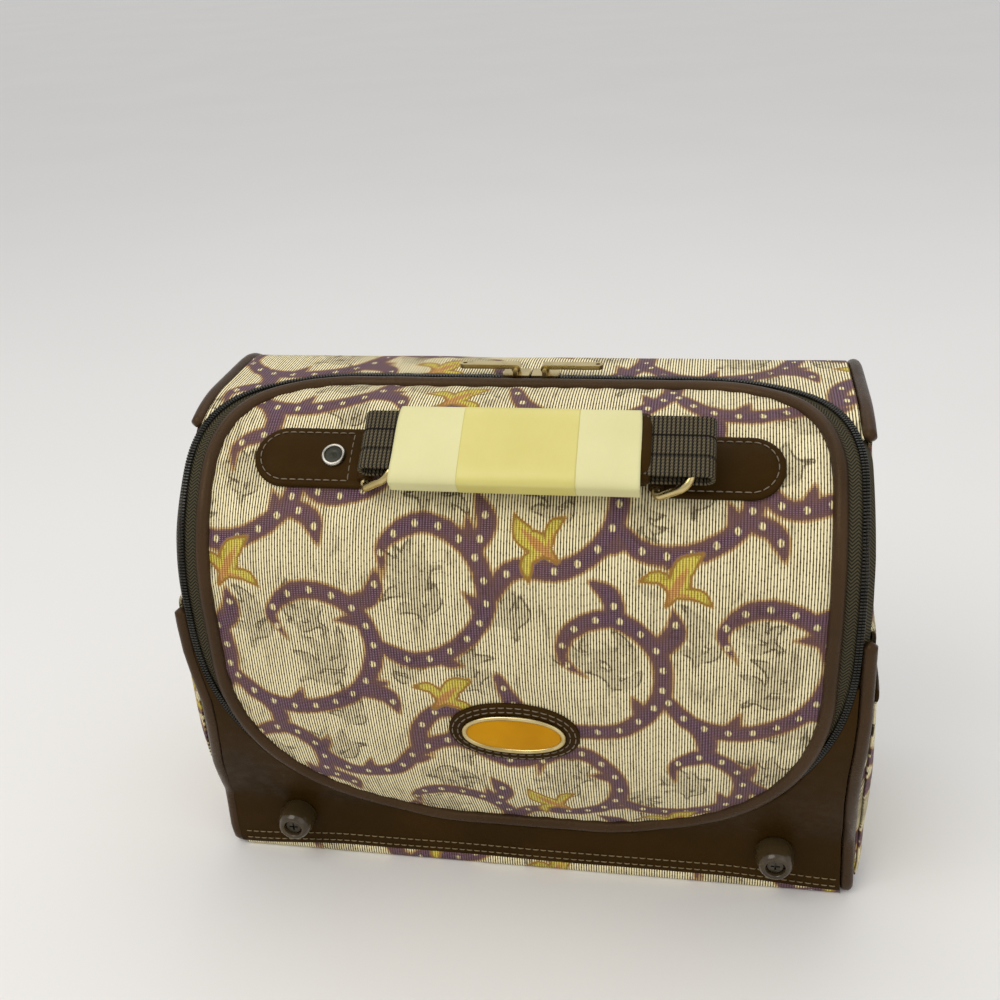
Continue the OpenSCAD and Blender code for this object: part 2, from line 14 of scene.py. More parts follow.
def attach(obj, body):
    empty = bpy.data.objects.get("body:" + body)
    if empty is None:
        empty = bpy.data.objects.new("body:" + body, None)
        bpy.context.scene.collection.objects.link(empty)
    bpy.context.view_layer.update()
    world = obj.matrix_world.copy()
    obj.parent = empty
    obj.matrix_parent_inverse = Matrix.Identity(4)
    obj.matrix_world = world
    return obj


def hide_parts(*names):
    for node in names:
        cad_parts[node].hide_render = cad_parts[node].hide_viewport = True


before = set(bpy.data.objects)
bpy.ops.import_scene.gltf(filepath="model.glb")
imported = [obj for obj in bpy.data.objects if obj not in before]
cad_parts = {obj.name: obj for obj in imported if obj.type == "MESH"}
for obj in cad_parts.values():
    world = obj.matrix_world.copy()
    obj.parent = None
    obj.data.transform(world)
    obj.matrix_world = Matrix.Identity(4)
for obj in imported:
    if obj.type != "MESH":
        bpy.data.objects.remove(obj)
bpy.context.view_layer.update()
bpy.context.scene.view_settings.view_transform = "Standard"

MM = 0.001
SIDES = {"left": -1, "right": 1}
BASE_W, TOP_W, BODY_H = 304, 291, 234
Y_FRONT, Y_BACK, Y_NOSE = -60.5, 60.5, -85.5
SWELL_Z0, SWELL_Z1, SWELL_R = 35, 130, 193
SHOULDER_Y, SHOULDER_Z, SHOULDER_R = -13.5, 162, 72
BACK_R = 38
STRIP_H = 6
CHANNEL = 5.55
HORN_Z, BINDING_Z = 136, 158
BROW_SLOPE = 66
LID_T = 2.2
# The lid's outline at the middle of its piping, by the middles and radii of its corners: the lower ones have
# x and z, the upper ones x and y. The zip's lower corners are wider.
RIM_GAP, PIPING_R = 3.3, 3.1
RIM_LOW = (30, 132, 101.3)
RIM_TOP = (76, -60.5, 55.3)
ZIP_LOW = (20.75, 150, 110.55)
# The zip's rows, by their distance from the piping's middle
TAPE_OUT, ROW_LID, ROW_BODY, ZIP_OUT, TEETH_W = 8.3, 8.45, 9.8, 10.95, 1.15
APRON_GAP, SEAM_GAP = 0.35, 0.15
INSIDE = np.array([0, -5, 115])
SKIN_STEP, SOFT_STEPS = 0.5, 6


# The bag's skin

def arc(cy, cz, r, start, end, count):
    angle = np.radians(np.linspace(start, end, count))
    return np.stack([cy + r * np.cos(angle), cz + r * np.sin(angle)], axis=1)


def run_along(line):
    """How far along a line each of its points is."""
    return np.concatenate([[0], np.cumsum(np.linalg.norm(np.diff(line, axis=0), axis=1))])


def at_runs(at, along, values):
    """Rows of values at other places along a line."""
    return np.stack([np.interp(at, along, column) for column in values.T], axis=1)


def unit(rows):
    return rows / np.linalg.norm(rows, axis=1)[:, None]


def round_angles(count):
    return np.linspace(0, 2 * np.pi, count, endpoint=False)


def resample(line, step):
    along = run_along(line)
    at = np.linspace(0, along[-1], int(along[-1] / step) + 1)
    return at_runs(at, along, line), at


def soften(line, reach):
    """A line with its corners rounded off over a few steps; its ends stay."""
    pad = 3 * reach
    kernel = np.exp(-0.5 * (np.arange(-pad, pad + 1) / reach) ** 2)
    kernel /= kernel.sum()
    head = 2 * line[0] - line[pad:0:-1]
    tail = 2 * line[-1] - line[-2:-pad - 2:-1]
    full = np.concatenate([head, line, tail])
    return np.stack([np.convolve(column, kernel, "valid") for column in full.T], axis=1)


swell_angle = math.degrees(math.asin((SWELL_Z1 - SWELL_Z0) / SWELL_R))
side_line = np.concatenate([
    [[Y_FRONT, 0]],
    arc(Y_NOSE + SWELL_R, SWELL_Z1, SWELL_R, 180 + swell_angle, 180, 60),
    arc(SHOULDER_Y, SHOULDER_Z, SHOULDER_R, 180, 90, 60),
    arc(Y_BACK - BACK_R, BODY_H - BACK_R, BACK_R, 90, 0, 40),
    [[Y_BACK, 0]],
])
side_line, _ = resample(side_line, SKIN_STEP)
side_line, RUN = resample(soften(side_line, SOFT_STEPS), SKIN_STEP)
slope_line = unit(np.gradient(side_line, axis=0))
TOP_AT = int(np.argmax(side_line[:, 1] > BODY_H - 0.05))
NOSE_AT = int(np.argmin(np.abs(side_line[:TOP_AT, 1] - SHOULDER_Z)))
BACK_AT = TOP_AT + 60


def run_at_front(z):
    """How far along the skin a height on the front is."""
    return np.interp(z, side_line[:TOP_AT + 1, 1], RUN[:TOP_AT + 1])


def run_at_top(y):
    """How far along the skin a depth on the shoulder or the top is."""
    return np.interp(y, side_line[NOSE_AT:, 0], RUN[NOSE_AT:])


def run_at_back(z):
    return np.interp(-z, -side_line[BACK_AT:, 1], RUN[BACK_AT:])


def skin_side(s, h):
    y = np.interp(s, RUN, side_line[:, 0]) - h * np.interp(s, RUN, slope_line[:, 1])
    z = np.interp(s, RUN, side_line[:, 1]) + h * np.interp(s, RUN, slope_line[:, 0])
    return y, z


def skin(x, s, h):
    """Points at x across the bag and s along its skin, h off the surface."""
    y, z = skin_side(s, h)
    return np.stack(np.broadcast_arrays(x, y, z), axis=-1)


def on_skin(net, h):
    """Points of a flat net of x and s, h off the surface."""
    return skin(net[..., 0], net[..., 1], h)


def skin_normal(s):
    ny = -np.interp(s, RUN, slope_line[:, 1])
    nz = np.interp(s, RUN, slope_line[:, 0])
    return np.stack(np.broadcast_arrays(0 * ny, ny, nz), axis=-1)


def half_w(z):
    return BASE_W / 2 - (BASE_W - TOP_W) / 2 * z / BODY_H


def smooth_step(low, high, value):
    t = np.clip((value - low) / (high - low), 0, 1)
    return t * t * (3 - 2 * t)


# Steps along half of an outline: bottom, lower corner, side, upper corner and top
OUTLINE_STEPS = (16, 90, 70, 56, 30)


def outline_half(grow, low, ends=True):
    """The right half of a U-shaped outline, from the bottom's middle to the top's, as x and s."""
    bottom_n, turn_n, side_n, bend_n, top_n = OUTLINE_STEPS
    low_x, low_z, low_r = low[0], low[1], low[2] + grow
    top_x, top_y, top_r = RIM_TOP[0], RIM_TOP[1], RIM_TOP[2] + grow
    turn = np.radians(np.linspace(-90, 0, turn_n + 1))
    bend = np.radians(np.linspace(0, 90, bend_n + 1))
    side_s = np.linspace(run_at_front(low_z), run_at_top(top_y), side_n + 1)[1:-1]
    x = [low_x + low_r * np.cos(turn), np.full(len(side_s), low_x + low_r), top_x + top_r * np.cos(bend)]
    s = [run_at_front(low_z + low_r * np.sin(turn)), side_s, run_at_top(top_y + top_r * np.sin(bend))]
    if ends:
        x = [np.linspace(0, low_x, bottom_n + 1)[:-1], *x, np.linspace(top_x, 0, top_n + 1)[1:]]
        s = [np.full(bottom_n, s[0][0]), *s, np.full(top_n, s[-1][-1])]
    return np.concatenate(x), np.concatenate(s)


def both_halves(x, s):
    """A closed outline from its right half."""
    return np.concatenate([x, -x[-2:0:-1]]), np.concatenate([s, s[-2:0:-1]])


# Mesh helpers

WELD_GAP = 1e-6
# Millimetres of cloth to a unit of its coordinates
CLOTH_UNIT = 100


def grid_faces(rows, cols, close_rows=False, close_cols=False):
    i, j = np.meshgrid(np.arange(rows if close_rows else rows - 1),
                       np.arange(cols if close_cols else cols - 1), indexing="ij")
    i, j = i.ravel(), j.ravel()
    ni, nj = (i + 1) % rows, (j + 1) % cols
    return np.stack([i * cols + j, ni * cols + j, ni * cols + nj, i * cols + nj], axis=1)


def weld(mesh):
    work = bmesh.new()
    work.from_mesh(mesh)
    bmesh.ops.remove_doubles(work, verts=work.verts, dist=WELD_GAP)
    bmesh.ops.dissolve_degenerate(work, edges=work.edges, dist=WELD_GAP / 10)
    bmesh.ops.recalc_face_normals(work, faces=work.faces)
    work.to_mesh(mesh)
    work.free()


def faced_out(points, faces, inside):
    """Faces turned so that most of them look away from a place inside."""
    a, b, c = (points[faces[:, k]] for k in range(3))
    out = np.einsum("ij,ij->i", np.cross(b - a, c - a), a - inside)
    return faces[:, ::-1] if out.sum() < 0 else faces


def placed(name, data):
    made = bpy.data.objects.new(name, data)
    bpy.context.scene.collection.objects.link(made)
    return made


def piece(name, points, faces, body, finish, slot=None, nodes=(), uv=None, thick=0, motifs=None, closed=False,
          inside=INSIDE):
    """A smooth mesh object that rides on a CAD body and stands for its nodes.

    A closed mesh is welded. An open sheet faces away from the inside and can be given a thickness.
    """
    points = np.asarray(points, float).reshape(-1, 3)
    if isinstance(faces, np.ndarray):
        faces = (faces if closed else faced_out(points, faces, inside)).tolist()
    mesh = bpy.data.meshes.new(name)
    mesh.from_pydata((points * MM).tolist(), [], faces)
    if uv is not None:
        uv = np.asarray(uv).reshape(-1, 2)
        layer = mesh.uv_layers.new(name="cloth")
        corner = np.zeros(len(mesh.loops), np.int32)
        mesh.loops.foreach_get("vertex_index", corner)
        layer.data.foreach_set("uv", (uv.astype(np.float32) / CLOTH_UNIT)[corner].ravel())
    if motifs is not None:
        for key, field in MOTIFS.items():
            values = mesh.attributes.new(key, "FLOAT", "POINT").data
            values.foreach_set("value", from_tile(field, uv + motifs).astype(np.float32))
    if closed:
        weld(mesh)
    mesh.update()
    mesh.shade_smooth()
    made = placed(name, mesh)
    mesh.materials.append(finish)
    if thick:
        shell = made.modifiers.new("thickness", "SOLIDIFY")
        shell.thickness = thick * MM
        shell.offset = -1
    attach(made, body)
    if nodes:
        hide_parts(*nodes)
    return made


def flat_area(uv, faces):
    """The area of a cut in square metres, from its flat coordinates."""
    q = np.asarray(uv, float).reshape(-1, 2)[faces]
    d1, d2 = q[:, 2] - q[:, 0], q[:, 3] - q[:, 1]
    return float(np.abs(d1[:, 0] * d2[:, 1] - d1[:, 1] * d2[:, 0]).sum() / 2) * MM * MM


def sheet_piece(name, points, uv, body, finish, slot, node, thick, motifs=None):
    """A net of points with its flat coordinates as a piece."""
    faces = grid_faces(*points.shape[:2])
    made = piece(name, points, faces, body, finish, slot, [node], uv, thick, motifs)


def tube_points(path, across, radius, sides, closed=False):
    """Rings of points round a path; across is a direction off it at each point."""
    if closed:
        along = np.roll(path, -1, axis=0) - np.roll(path, 1, axis=0)
    else:
        along = np.gradient(path, axis=0)
    along = unit(along)
    side = unit(np.cross(along, across))
    up = np.cross(side, along)
    angle = round_angles(sides)[None, :, None]
    radius = np.broadcast_to(radius, len(path))[:, None, None]
    return path[:, None] + radius * (np.cos(angle) * up[:, None] + np.sin(angle) * side[:, None])


def capped(rings):
    """A tube's points and faces from its rings, with a middle point and a fan of faces at each end."""
    rows, cols = rings.shape[:2]
    first, last, base = rows * cols, rows * cols + 1, (rows - 1) * cols
    j = np.arange(cols)
    nj = (j + 1) % cols
    fans = [np.stack([np.full(cols, first), j, nj], axis=1),
            np.stack([np.full(cols, last), base + nj, base + j], axis=1)]
    points = np.concatenate([rings.reshape(-1, 3), [rings[0].mean(0), rings[-1].mean(0)]])
    return points, grid_faces(rows, cols, close_cols=True).tolist() + np.concatenate(fans).tolist()


def lathe(profile, count):
    """Points turned round an axis from radii and heights, and the faces of a closed profile."""
    profile = np.asarray(profile, float)
    angle = round_angles(count)
    x = profile[:, 0, None] * np.cos(angle)
    y = profile[:, 0, None] * np.sin(angle)
    z = np.broadcast_to(profile[:, 1, None], x.shape)
    return np.stack([x, y, z], axis=-1), grid_faces(len(profile), count, True, True)


STITCH_PITCH, STITCH_L, STITCH_R, STITCH_LIFT, STITCH_SIDES = 3.7, 2.9, 0.29, 0.1, 6
# Places along a stitch as shares of its length, and how thick it is and how far it rises there
STITCH_AT = np.array([-0.5, -0.43, -0.2, 0.2, 0.43, 0.5])
STITCH_THICK = np.array([0.25, 0.8, 1.0, 1.0, 0.8, 0.25])
STITCH_RISE = np.array([-0.25, 0.0, 0.16, 0.16, 0.0, -0.25])


def stitches(name, runs, body, finish):
    """Small rounded thread stitches along lines of points with their normals, as one piece."""
    points = []
    for path, normal in runs:
        along = run_along(path)
        count = max(1, int(along[-1] / STITCH_PITCH))
        for k in range(count):
            at = (k + 0.5) * along[-1] / count + STITCH_AT * STITCH_L
            up = at_runs(at, along, normal)
            line = at_runs(at, along, path) + (STITCH_RISE + STITCH_LIFT)[:, None] * up
            points.append(tube_points(line, up, STITCH_THICK * STITCH_R, STITCH_SIDES).reshape(-1, 3))
    shell = grid_faces(len(STITCH_AT), STITCH_SIDES, close_cols=True)
    faces = np.concatenate([shell + k * len(points[0]) for k in range(len(points))])
    return piece(name, np.concatenate(points), faces, body, finish, closed=True)


# The brocade's motifs: a scrolling vine with dots, lilies and shadow leaves on a repeating tile

TILE = np.array([190.0, 144.0])
CELL, REACH, FAR = 0.5, 16, 99.0
RIB, PICK = 1.22, 0.86
VINE_HALF, BEAD_R, LILY_SIZE, LEAF_L = 4.0, 1.7, 0.92, 23


def curve_through(points, step=1.0):
    """A smooth curve through points."""
    p = np.asarray(points, float)
    full = np.concatenate([[2 * p[0] - p[1]], p, [2 * p[-1] - p[-2]]])
    t = np.linspace(0, 1, 24, endpoint=False)[:, None]
    parts = []
    for a, b, c, d in zip(full, full[1:], full[2:], full[3:]):
        parts.append(0.5 * (2 * b + (c - a) * t + (2 * a - 5 * b + 4 * c - d) * t ** 2
                            + (3 * b - a - 3 * c + d) * t ** 3))
    return resample(np.concatenate(parts + [p[-1:]]), step)[0]


# The points that each vine goes through on the tile, and whether its far end is blunt; long ones first
LONG_VINES = 6
VINES = [(curve_through(points), blunt) for points, blunt in (
    (((2, 34), (10, 16), (30, 6), (54, 10), (70, 28), (69, 51), (52, 66), (34, 60), (30, 46), (40, 37)), 0),
    (((70, 31), (85, 15), (108, 13), (130, 24), (139, 46), (130, 67), (109, 73), (95, 62), (101, 48)), 0),
    (((139, 49), (157, 41), (177, 50), (189, 70), (183, 92), (163, 103), (146, 94), (146, 80)), 0),
    (((189, 70), (200, 85), (221, 86), (238, 99), (242, 119), (229, 135), (211, 132), (206, 120)), 0),
    (((50, 105), (64, 94), (85, 95), (103, 108), (105, 128), (92, 141), (77, 135), (77, 123)), 0),
    (((105, 126), (119, 113), (140, 118), (153, 133), (171, 139), (193, 128), (211, 132)), 1),
    (((85, 15), (90, 6), (88, -6)), 0),
    (((69, 51), (76, 60), (75, 72)), 0),
    (((130, 67), (140, 72), (143, 84)), 0),
    (((183, 92), (189, 103), (184, 116)), 0),
    (((153, 133), (155, 147), (164, 157), (177, 156)), 0),
    (((52, 66), (50, 76), (41, 82)), 0),
    (((30, 6), (24, -5), (13, -8)), 0),
    (((130, 24), (142, 21), (147, 11)), 0),
    (((103, 108), (114, 103), (118, 92)), 0),
)]
# Places and turns of the lilies, and places, turns and lengths of the shadow leaves
LILIES = [((75, 78), 62), ((24, 93), 140), ((166, 19), 48)]
PLUMES = [
    ((48, 28), 60, 26), ((48, 52), 215, 19), ((104, 27), 30, 27), ((119, 54), 150, 22), ((163, 58), 95, 26),
    ((170, 85), 190, 20), ((24, 100), 70, 22), ((42, 118), 160, 19), ((82, 108), 80, 20),
    ((92, 126), 200, 18), ((11, 54), 100, 26), ((128, 134), 200, 24), ((64, 116), 250, 17),
    ((154, 114), 10, 22), ((84, 43), 75, 24), ((186, 24), 130, 24), ((120, 0), 60, 20),
    ((176, 124), 120, 15), ((58, 80), 10, 17), ((158, 28), 140, 17),
]


def tile_field(points, size, squash=(1, 1)):
    """On the tile's grid, the least distance to the points less their sizes, wrapped round the edges."""
    shape = (TILE / CELL).astype(int)
    best = np.full(shape, FAR, np.float32)
    for (px, py), r in zip(points, np.broadcast_to(size, len(points))):
        i = np.arange(int((px - REACH) / CELL), int((px + REACH) / CELL))
        j = np.arange(int((py - REACH) / CELL), int((py + REACH) / CELL))
        d = np.hypot((i[:, None] * CELL - px) * squash[0], (j[None] * CELL - py) * squash[1]) - r
        box = np.ix_(i % shape[0], j % shape[1])
        best[box] = np.minimum(best[box], d)
    return best


def stroke_sizes(line, blunt):
    """Half widths of a vine, which runs out to a point at a free end."""
    t = np.linspace(0, 1, len(line))
    start = np.clip((t + 0.03) / 0.12, 0, 1) ** 0.5
    end = 1 if blunt else np.clip((1 - t) / max(0.17, 10 / len(line)), 0.02, 1) ** 0.8
    return VINE_HALF * start * end


# Strokes of a lily's petals, its heart and a shadow leaf: points, and half widths along them
PETALS = (
    (((-6, 0), (0, 0), (7, 0)), (1.6, 3.2, 5.0)),
    (((2, 0), (12, 1.5), (23, -3)), (4.4, 5.2, 0.2)),
    (((2, 3), (3.5, 9), (-4, 17)), (3.0, 3.3, 0.2)),
    (((2, -3), (5, -10), (3, -19)), (3.0, 3.3, 0.2)),
)
HEART = (
    (((-6, 0), (5, 0.5), (17, 0)), (1.2, 2.3, 0.2)),
    (((0, 2), (1, 7), (-2, 11)), (1.2, 0.9, 0.1)),
    (((1, -2), (2.5, -8), (2, -13)), (1.2, 0.9, 0.1)),
)
THORN = ((((0, 0), (6, 0.5), (12.5, 2.5)), (3.2, 2.4, 0.1)),)
LEAF = (
    (((0, 0), (9, 1.5), (17, 6), (21, 14)), (0.8, 1.7, 2.2, 0.2)),
    (((5, 0.5), (10, -4.5), (18, -5)), (1.2, 2.7, 0.2)),
    (((11, 2), (18, -0.5), (25, 3)), (1.2, 2.6, 0.2)),
    (((16, 5), (23, 6), (27, 13)), (1.2, 2.3, 0.2)),
    (((6, 1), (8.5, 6.5), (5.5, 12)), (1.0, 2.2, 0.2)),
    (((13, 4), (15, 10), (11.5, 16)), (1.0, 2.0, 0.2)),
)


def strokes_at(base, turn, shapes, size=1.0, flip=1):
    """Strokes placed on the tile, as points and half widths."""
    a = math.radians(turn)
    spin = np.array([[math.cos(a), math.sin(a)], [-math.sin(a), math.cos(a)]])
    parts = []
    for points, halves in shapes:
        line = curve_through(np.array(points) * [size, size * flip] @ spin + base, 0.6)
        t = np.linspace(0, 1, len(line))
        parts.append((line, size * np.interp(t, np.linspace(0, 1, len(halves)), halves)))
    return parts


def stroke_field(parts):
    return tile_field(np.concatenate([q[0] for q in parts]), np.concatenate([q[1] for q in parts]))


def thorns():
    """Short pointed spurs off the long vines, on one side and then the other."""
    parts = []
    for k, (line, _) in enumerate(VINES[:LONG_VINES]):
        for j, share in enumerate((0.2, 0.42, 0.62)):
            i = int(share * len(line))
            ahead = line[i + 2] - line[i - 2]
            turn = math.degrees(math.atan2(ahead[1], ahead[0])) + (52 if (j + k) % 2 else -52)
            parts += strokes_at(line[i], turn, THORN)
    return parts


def vine_beads():
    """Places of the dots along the vines, none too near another."""
    kept = []
    for line, blunt in VINES:
        for place in line[6:len(line) - (2 if blunt else 7):10]:
            gaps = [np.hypot(*((place - q + TILE / 2) % TILE - TILE / 2)) for q in kept]
            if not gaps or min(gaps) > 6.5:
                kept.append(place)
    return np.array(kept)


def make_motifs():
    leaves = [strokes_at(base, turn, LEAF, length / LEAF_L, 1 - 2 * (k % 2))
              for k, (base, turn, length) in enumerate(PLUMES)]
    return {
        "vine": stroke_field([(line, stroke_sizes(line, blunt)) for line, blunt in VINES] + thorns()),
        "dots": tile_field(vine_beads(), BEAD_R, squash=(1.1, 0.9)),
        "lily": stroke_field(sum((strokes_at(*spot, PETALS, LILY_SIZE) for spot in LILIES), [])),
        "heart": stroke_field(sum((strokes_at(*spot, HEART, LILY_SIZE) for spot in LILIES), [])),
        "leaf": stroke_field(sum(leaves, [])),
    }


def from_tile(field, at):
    """A field's values at flat cloth coordinates."""
    g = np.mod(at, TILE) / CELL
    i = np.floor(g).astype(int)
    f = g - i
    nx, ny = field.shape
    i0, j0 = i[:, 0] % nx, i[:, 1] % ny
    i1, j1 = (i0 + 1) % nx, (j0 + 1) % ny
    low = field[i0, j0] * (1 - f[:, 0]) + field[i1, j0] * f[:, 0]
    high = field[i0, j1] * (1 - f[:, 0]) + field[i1, j1] * f[:, 0]
    return low * (1 - f[:, 1]) + high * f[:, 1]


MOTIFS = make_motifs()


# Finishes

def feed(inputs, values):
    """Sets a node's inputs to values, or links them to wires."""
    for key, value in values.items():
        if isinstance(value, Wire):
            value.tree.links.new(value.socket, inputs[key])
        else:
            inputs[key].default_value = value


class Wire:
    """A shader socket that takes arithmetic."""

    def __init__(self, tree, socket):
        self.tree = tree
        self.socket = socket

    def node(self, kind, settings=None, values=None, out=0):
        """One output of a new node, with its settings and the values or links of its sockets."""
        made = self.tree.nodes.new("ShaderNode" + kind)
        for key, value in (settings or {}).items():
            setattr(made, key, value)
        feed(made.inputs, values or {})
        return Wire(self.tree, made.outputs[out])

    def maths(self, operation, *terms):
        return self.node("Math", {"operation": operation}, dict(enumerate(terms)))

    def __add__(self, other):
        return self.maths("ADD", self, other)

    def __radd__(self, other):
        return self.maths("ADD", other, self)

    def __sub__(self, other):
        return self.maths("SUBTRACT", self, other)

    def __rsub__(self, other):
        return self.maths("SUBTRACT", other, self)

    def __mul__(self, other):
        return self.maths("MULTIPLY", self, other)

    def __rmul__(self, other):
        return self.maths("MULTIPLY", other, self)

    def __truediv__(self, other):
        return self.maths("DIVIDE", self, other)

    def wave(self, pitch):
        """A wave from 0 to 1 with that pitch."""
        return 0.5 + 0.5 * self.maths("COSINE", self * (2 * math.pi / pitch))

    def step(self, low, high):
        """0 below low and 1 above high, or the other way round."""
        turned = low > high
        values = {"Value": self, "From Min": min(low, high), "From Max": max(low, high),
                  "To Min": 1.0 if turned else 0.0, "To Max": 0.0 if turned else 1.0}
        return self.node("MapRange", {"interpolation_type": "SMOOTHSTEP"}, values)

    def mix(self, low, high):
        """A colour between two, by this value."""
        return self.node("Mix", {"data_type": "RGBA"}, {0: self, 6: low, 7: high}, out=2)

    def noise(self, scale, detail=3.0, stretch=(1, 1, 1)):
        """Noise at a place that this socket gives, with the scale in cycles to a unit."""
        place = self.node("Mapping", {}, {"Vector": self, "Scale": stretch})
        return place.node("TexNoise", {}, {"Vector": place, "Scale": scale, "Detail": detail})


def rgb(r, g, b):
    """A display colour out of 255 as a linear one."""
    def linear(c):
        c /= 255
        return c / 12.92 if c <= 0.04045 else ((c + 0.055) / 1.055) ** 2.4
    return (linear(r), linear(g), linear(b), 1.0)


def new_finish(name):
    """A material with its shader's inputs, and a wire to start from."""
    made = bpy.data.materials.new(name)
    made.use_nodes = True
    shader = made.node_tree.nodes["Principled BSDF"]
    return made, shader.inputs, Wire(made.node_tree, None)


def bumped(height, distance, strength=1.0):
    return height.node("Bump", {}, {"Height": height, "Distance": distance * MM, "Strength": strength})


def object_place(w):
    return w.node("TexCoord", {}, out="Object")


def cloth_place(w):
    """Flat cloth coordinates, as a vector and as two lengths in millimetres."""
    uv = w.node("UVMap", {"uv_map": "cloth"})
    sockets = uv.node("SeparateXYZ", {}, {0: uv}).socket.node.outputs
    return uv, Wire(w.tree, sockets["X"]) * float(CLOTH_UNIT), Wire(w.tree, sockets["Y"]) * float(CLOTH_UNIT)


def between(low_high, share):
    return low_high[0] + (low_high[1] - low_high[0]) * share


def tapestry_finish():
    made, inputs, w = new_finish("tapestry")
    uv, u, v = cloth_place(w)
    grain = uv.noise(60.0, 2.0, (1, 0.1, 1))
    cloud = uv.noise(3.5, 2.0)
    streak = uv.noise(34.0, 3.0, (1, 0.25, 1))
    rib = u.wave(RIB)
    pick = v.wave(PICK)
    number = u.maths("FLOOR", u / RIB)
    chance = number.node("TexWhiteNoise", {"noise_dimensions": "1D"}, {"W": number})
    dive = (v + chance * 9.0).wave(4.6).step(0.1, 0.0)
    field = {k: w.node("Attribute", {"attribute_name": k}, out="Fac") for k in MOTIFS}
    ragged = (rib - 0.5) * 0.6 + (pick - 0.5) * 0.35 + (grain - 0.5) * 0.9
    drift = uv.noise(9.0, 1.0)
    leaf = field["leaf"] + ragged * 0.6 + (streak - 0.5) * 0.5
    shade = leaf.step(0.6, -0.6)
    sliver = leaf.maths("ABSOLUTE", leaf - 0.1).step(0.62, 0.2) * drift.step(0.44, 0.56)
    worn = streak.step(0.52, 0.66) * cloud.step(0.44, 0.6)
    cover = rib + (grain - 0.5) * 0.5 - shade * 0.09 - worn * 0.1 - dive * 0.22 - sliver * 0.4
    thread = cover.step(0.14, 0.5)
    pale = (cloud * 0.6 + chance * 0.4).mix(rgb(255, 244, 200), rgb(234, 219, 172))
    pale = (shade * 0.26).mix(pale, rgb(150, 138, 108))
    ground = thread.mix(rgb(70, 57, 35), (worn * 0.3 + sliver * 0.4).mix(pale, rgb(134, 120, 94)))
    lily = field["lily"] + ragged
    petal = (pick * 0.3 + thread * 0.7).mix(rgb(122, 104, 30), rgb(222, 204, 92))
    heart = (pick * 0.5 + thread * 0.5).mix(rgb(132, 82, 44), rgb(206, 148, 86))
    petal = ((field["heart"] + ragged).step(0.4, -0.5) * 0.9).mix(petal, heart)
    petal = (lily.maths("ABSOLUTE", lily + 0.5)).step(0.9, 0.3).mix(petal, rgb(146, 106, 46))
    vine = field["vine"] + ragged + (streak - 0.5) * 1.4
    gold = thread.mix(rgb(104, 76, 42), rgb(184, 144, 82))
    edged = (vine.step(1.3, 0.6) * 0.85).mix(ground, gold)
    plum = (pick * thread).mix(rgb(66, 46, 50), rgb(140, 108, 128))
    plum = (vine.step(-2.8, -0.6) * 0.5 + cloud.step(0.42, 0.6) * 0.25).mix(plum, rgb(110, 78, 64))
    vined = vine.step(0.3, -0.3).mix(edged, plum)
    flowered = lily.step(0.35, -0.35).mix(vined, petal)
    bead = (field["dots"] + (rib - 0.5) * 0.4).step(0.3, -0.3) * thread.step(0.1, 0.5) * lily.step(0.3, 0.8)
    woven_in = vine.step(0.4, -0.6) * 0.45 + lily.step(0.4, -0.6) * 0.45
    raised = thread * 0.6 + pick * 0.15 + woven_in + bead * 0.3
    feed(inputs, {"Base Color": bead.mix(flowered, rgb(238, 222, 166)), "Roughness": 0.78,
                  "Sheen Weight": 0.06, "Sheen Roughness": 0.5, "Specular IOR Level": 0.2,
                  "Normal": bumped(raised, 0.22, 0.8)})
    return made


def vinyl_finish(name, tone, deep, rough, gloss):
    made, inputs, w = new_finish(name)
    place = object_place(w)
    cloud = place.noise(28.0, 4.0)
    grain = place.node("TexVoronoi", {"feature": "DISTANCE_TO_EDGE"}, {"Vector": place, "Scale": 1100.0})
    fine = place.noise(2600.0, 2.0)
    crease = place.noise(190.0, 4.0)
    height = grain.step(0.0, 0.16) * 0.5 + fine * 0.25 + crease * 0.7
    feed(inputs, {"Base Color": (cloud.step(0.3, 0.72) * 0.8 + fine * 0.2).mix(rgb(*deep), rgb(*tone)),
                  "Roughness": between(rough, crease.step(0.3, 0.7)), "Specular IOR Level": gloss,
                  "Specular Tint": (1.0, 0.72, 0.42, 1), "Normal": bumped(height, 0.12, 0.55)})
    return made


def thread_finish(name, tone, deep):
    made, inputs, w = new_finish(name)
    twist = object_place(w).noise(3200.0, 2.0)
    feed(inputs, {"Base Color": twist.mix(rgb(*deep), rgb(*tone)), "Roughness": 0.7,
                  "Normal": bumped(twist, 0.08)})
    return made


def lining_finish():
    made, inputs, w = new_finish("lining")
    uv, u, v = cloth_place(w)
    weave = u.wave(0.7) * 0.5 + v.wave(0.7) * 0.5
    cloud = uv.noise(5.0, 3.0)
    tone = (weave * 0.6 + cloud * 0.4).mix(rgb(158, 140, 106), rgb(190, 172, 134))
    feed(inputs, {"Base Color": tone, "Roughness": 0.8, "Normal": bumped(weave + cloud * 1.2, 0.15, 0.7)})
    return made


def tape_finish(name, tone, deep):
    """Woven tape with a herringbone, along and across its own length."""
    made, inputs, w = new_finish(name)
    uv, along, across = cloth_place(w)
    chevron = across.maths("PINGPONG", across, 2.3)
    twill = (along + chevron).wave(1.5)
    fuzz = uv.noise(240.0, 2.0)
    shown = twill.step(0.15, 0.85) * 0.8 + fuzz * 0.2
    feed(inputs, {"Base Color": shown.mix(rgb(*deep), rgb(*tone)), "Roughness": 0.72,
                  "Specular IOR Level": 0.2, "Normal": bumped(twill + fuzz * 0.5, 0.2, 0.8)})
    return made


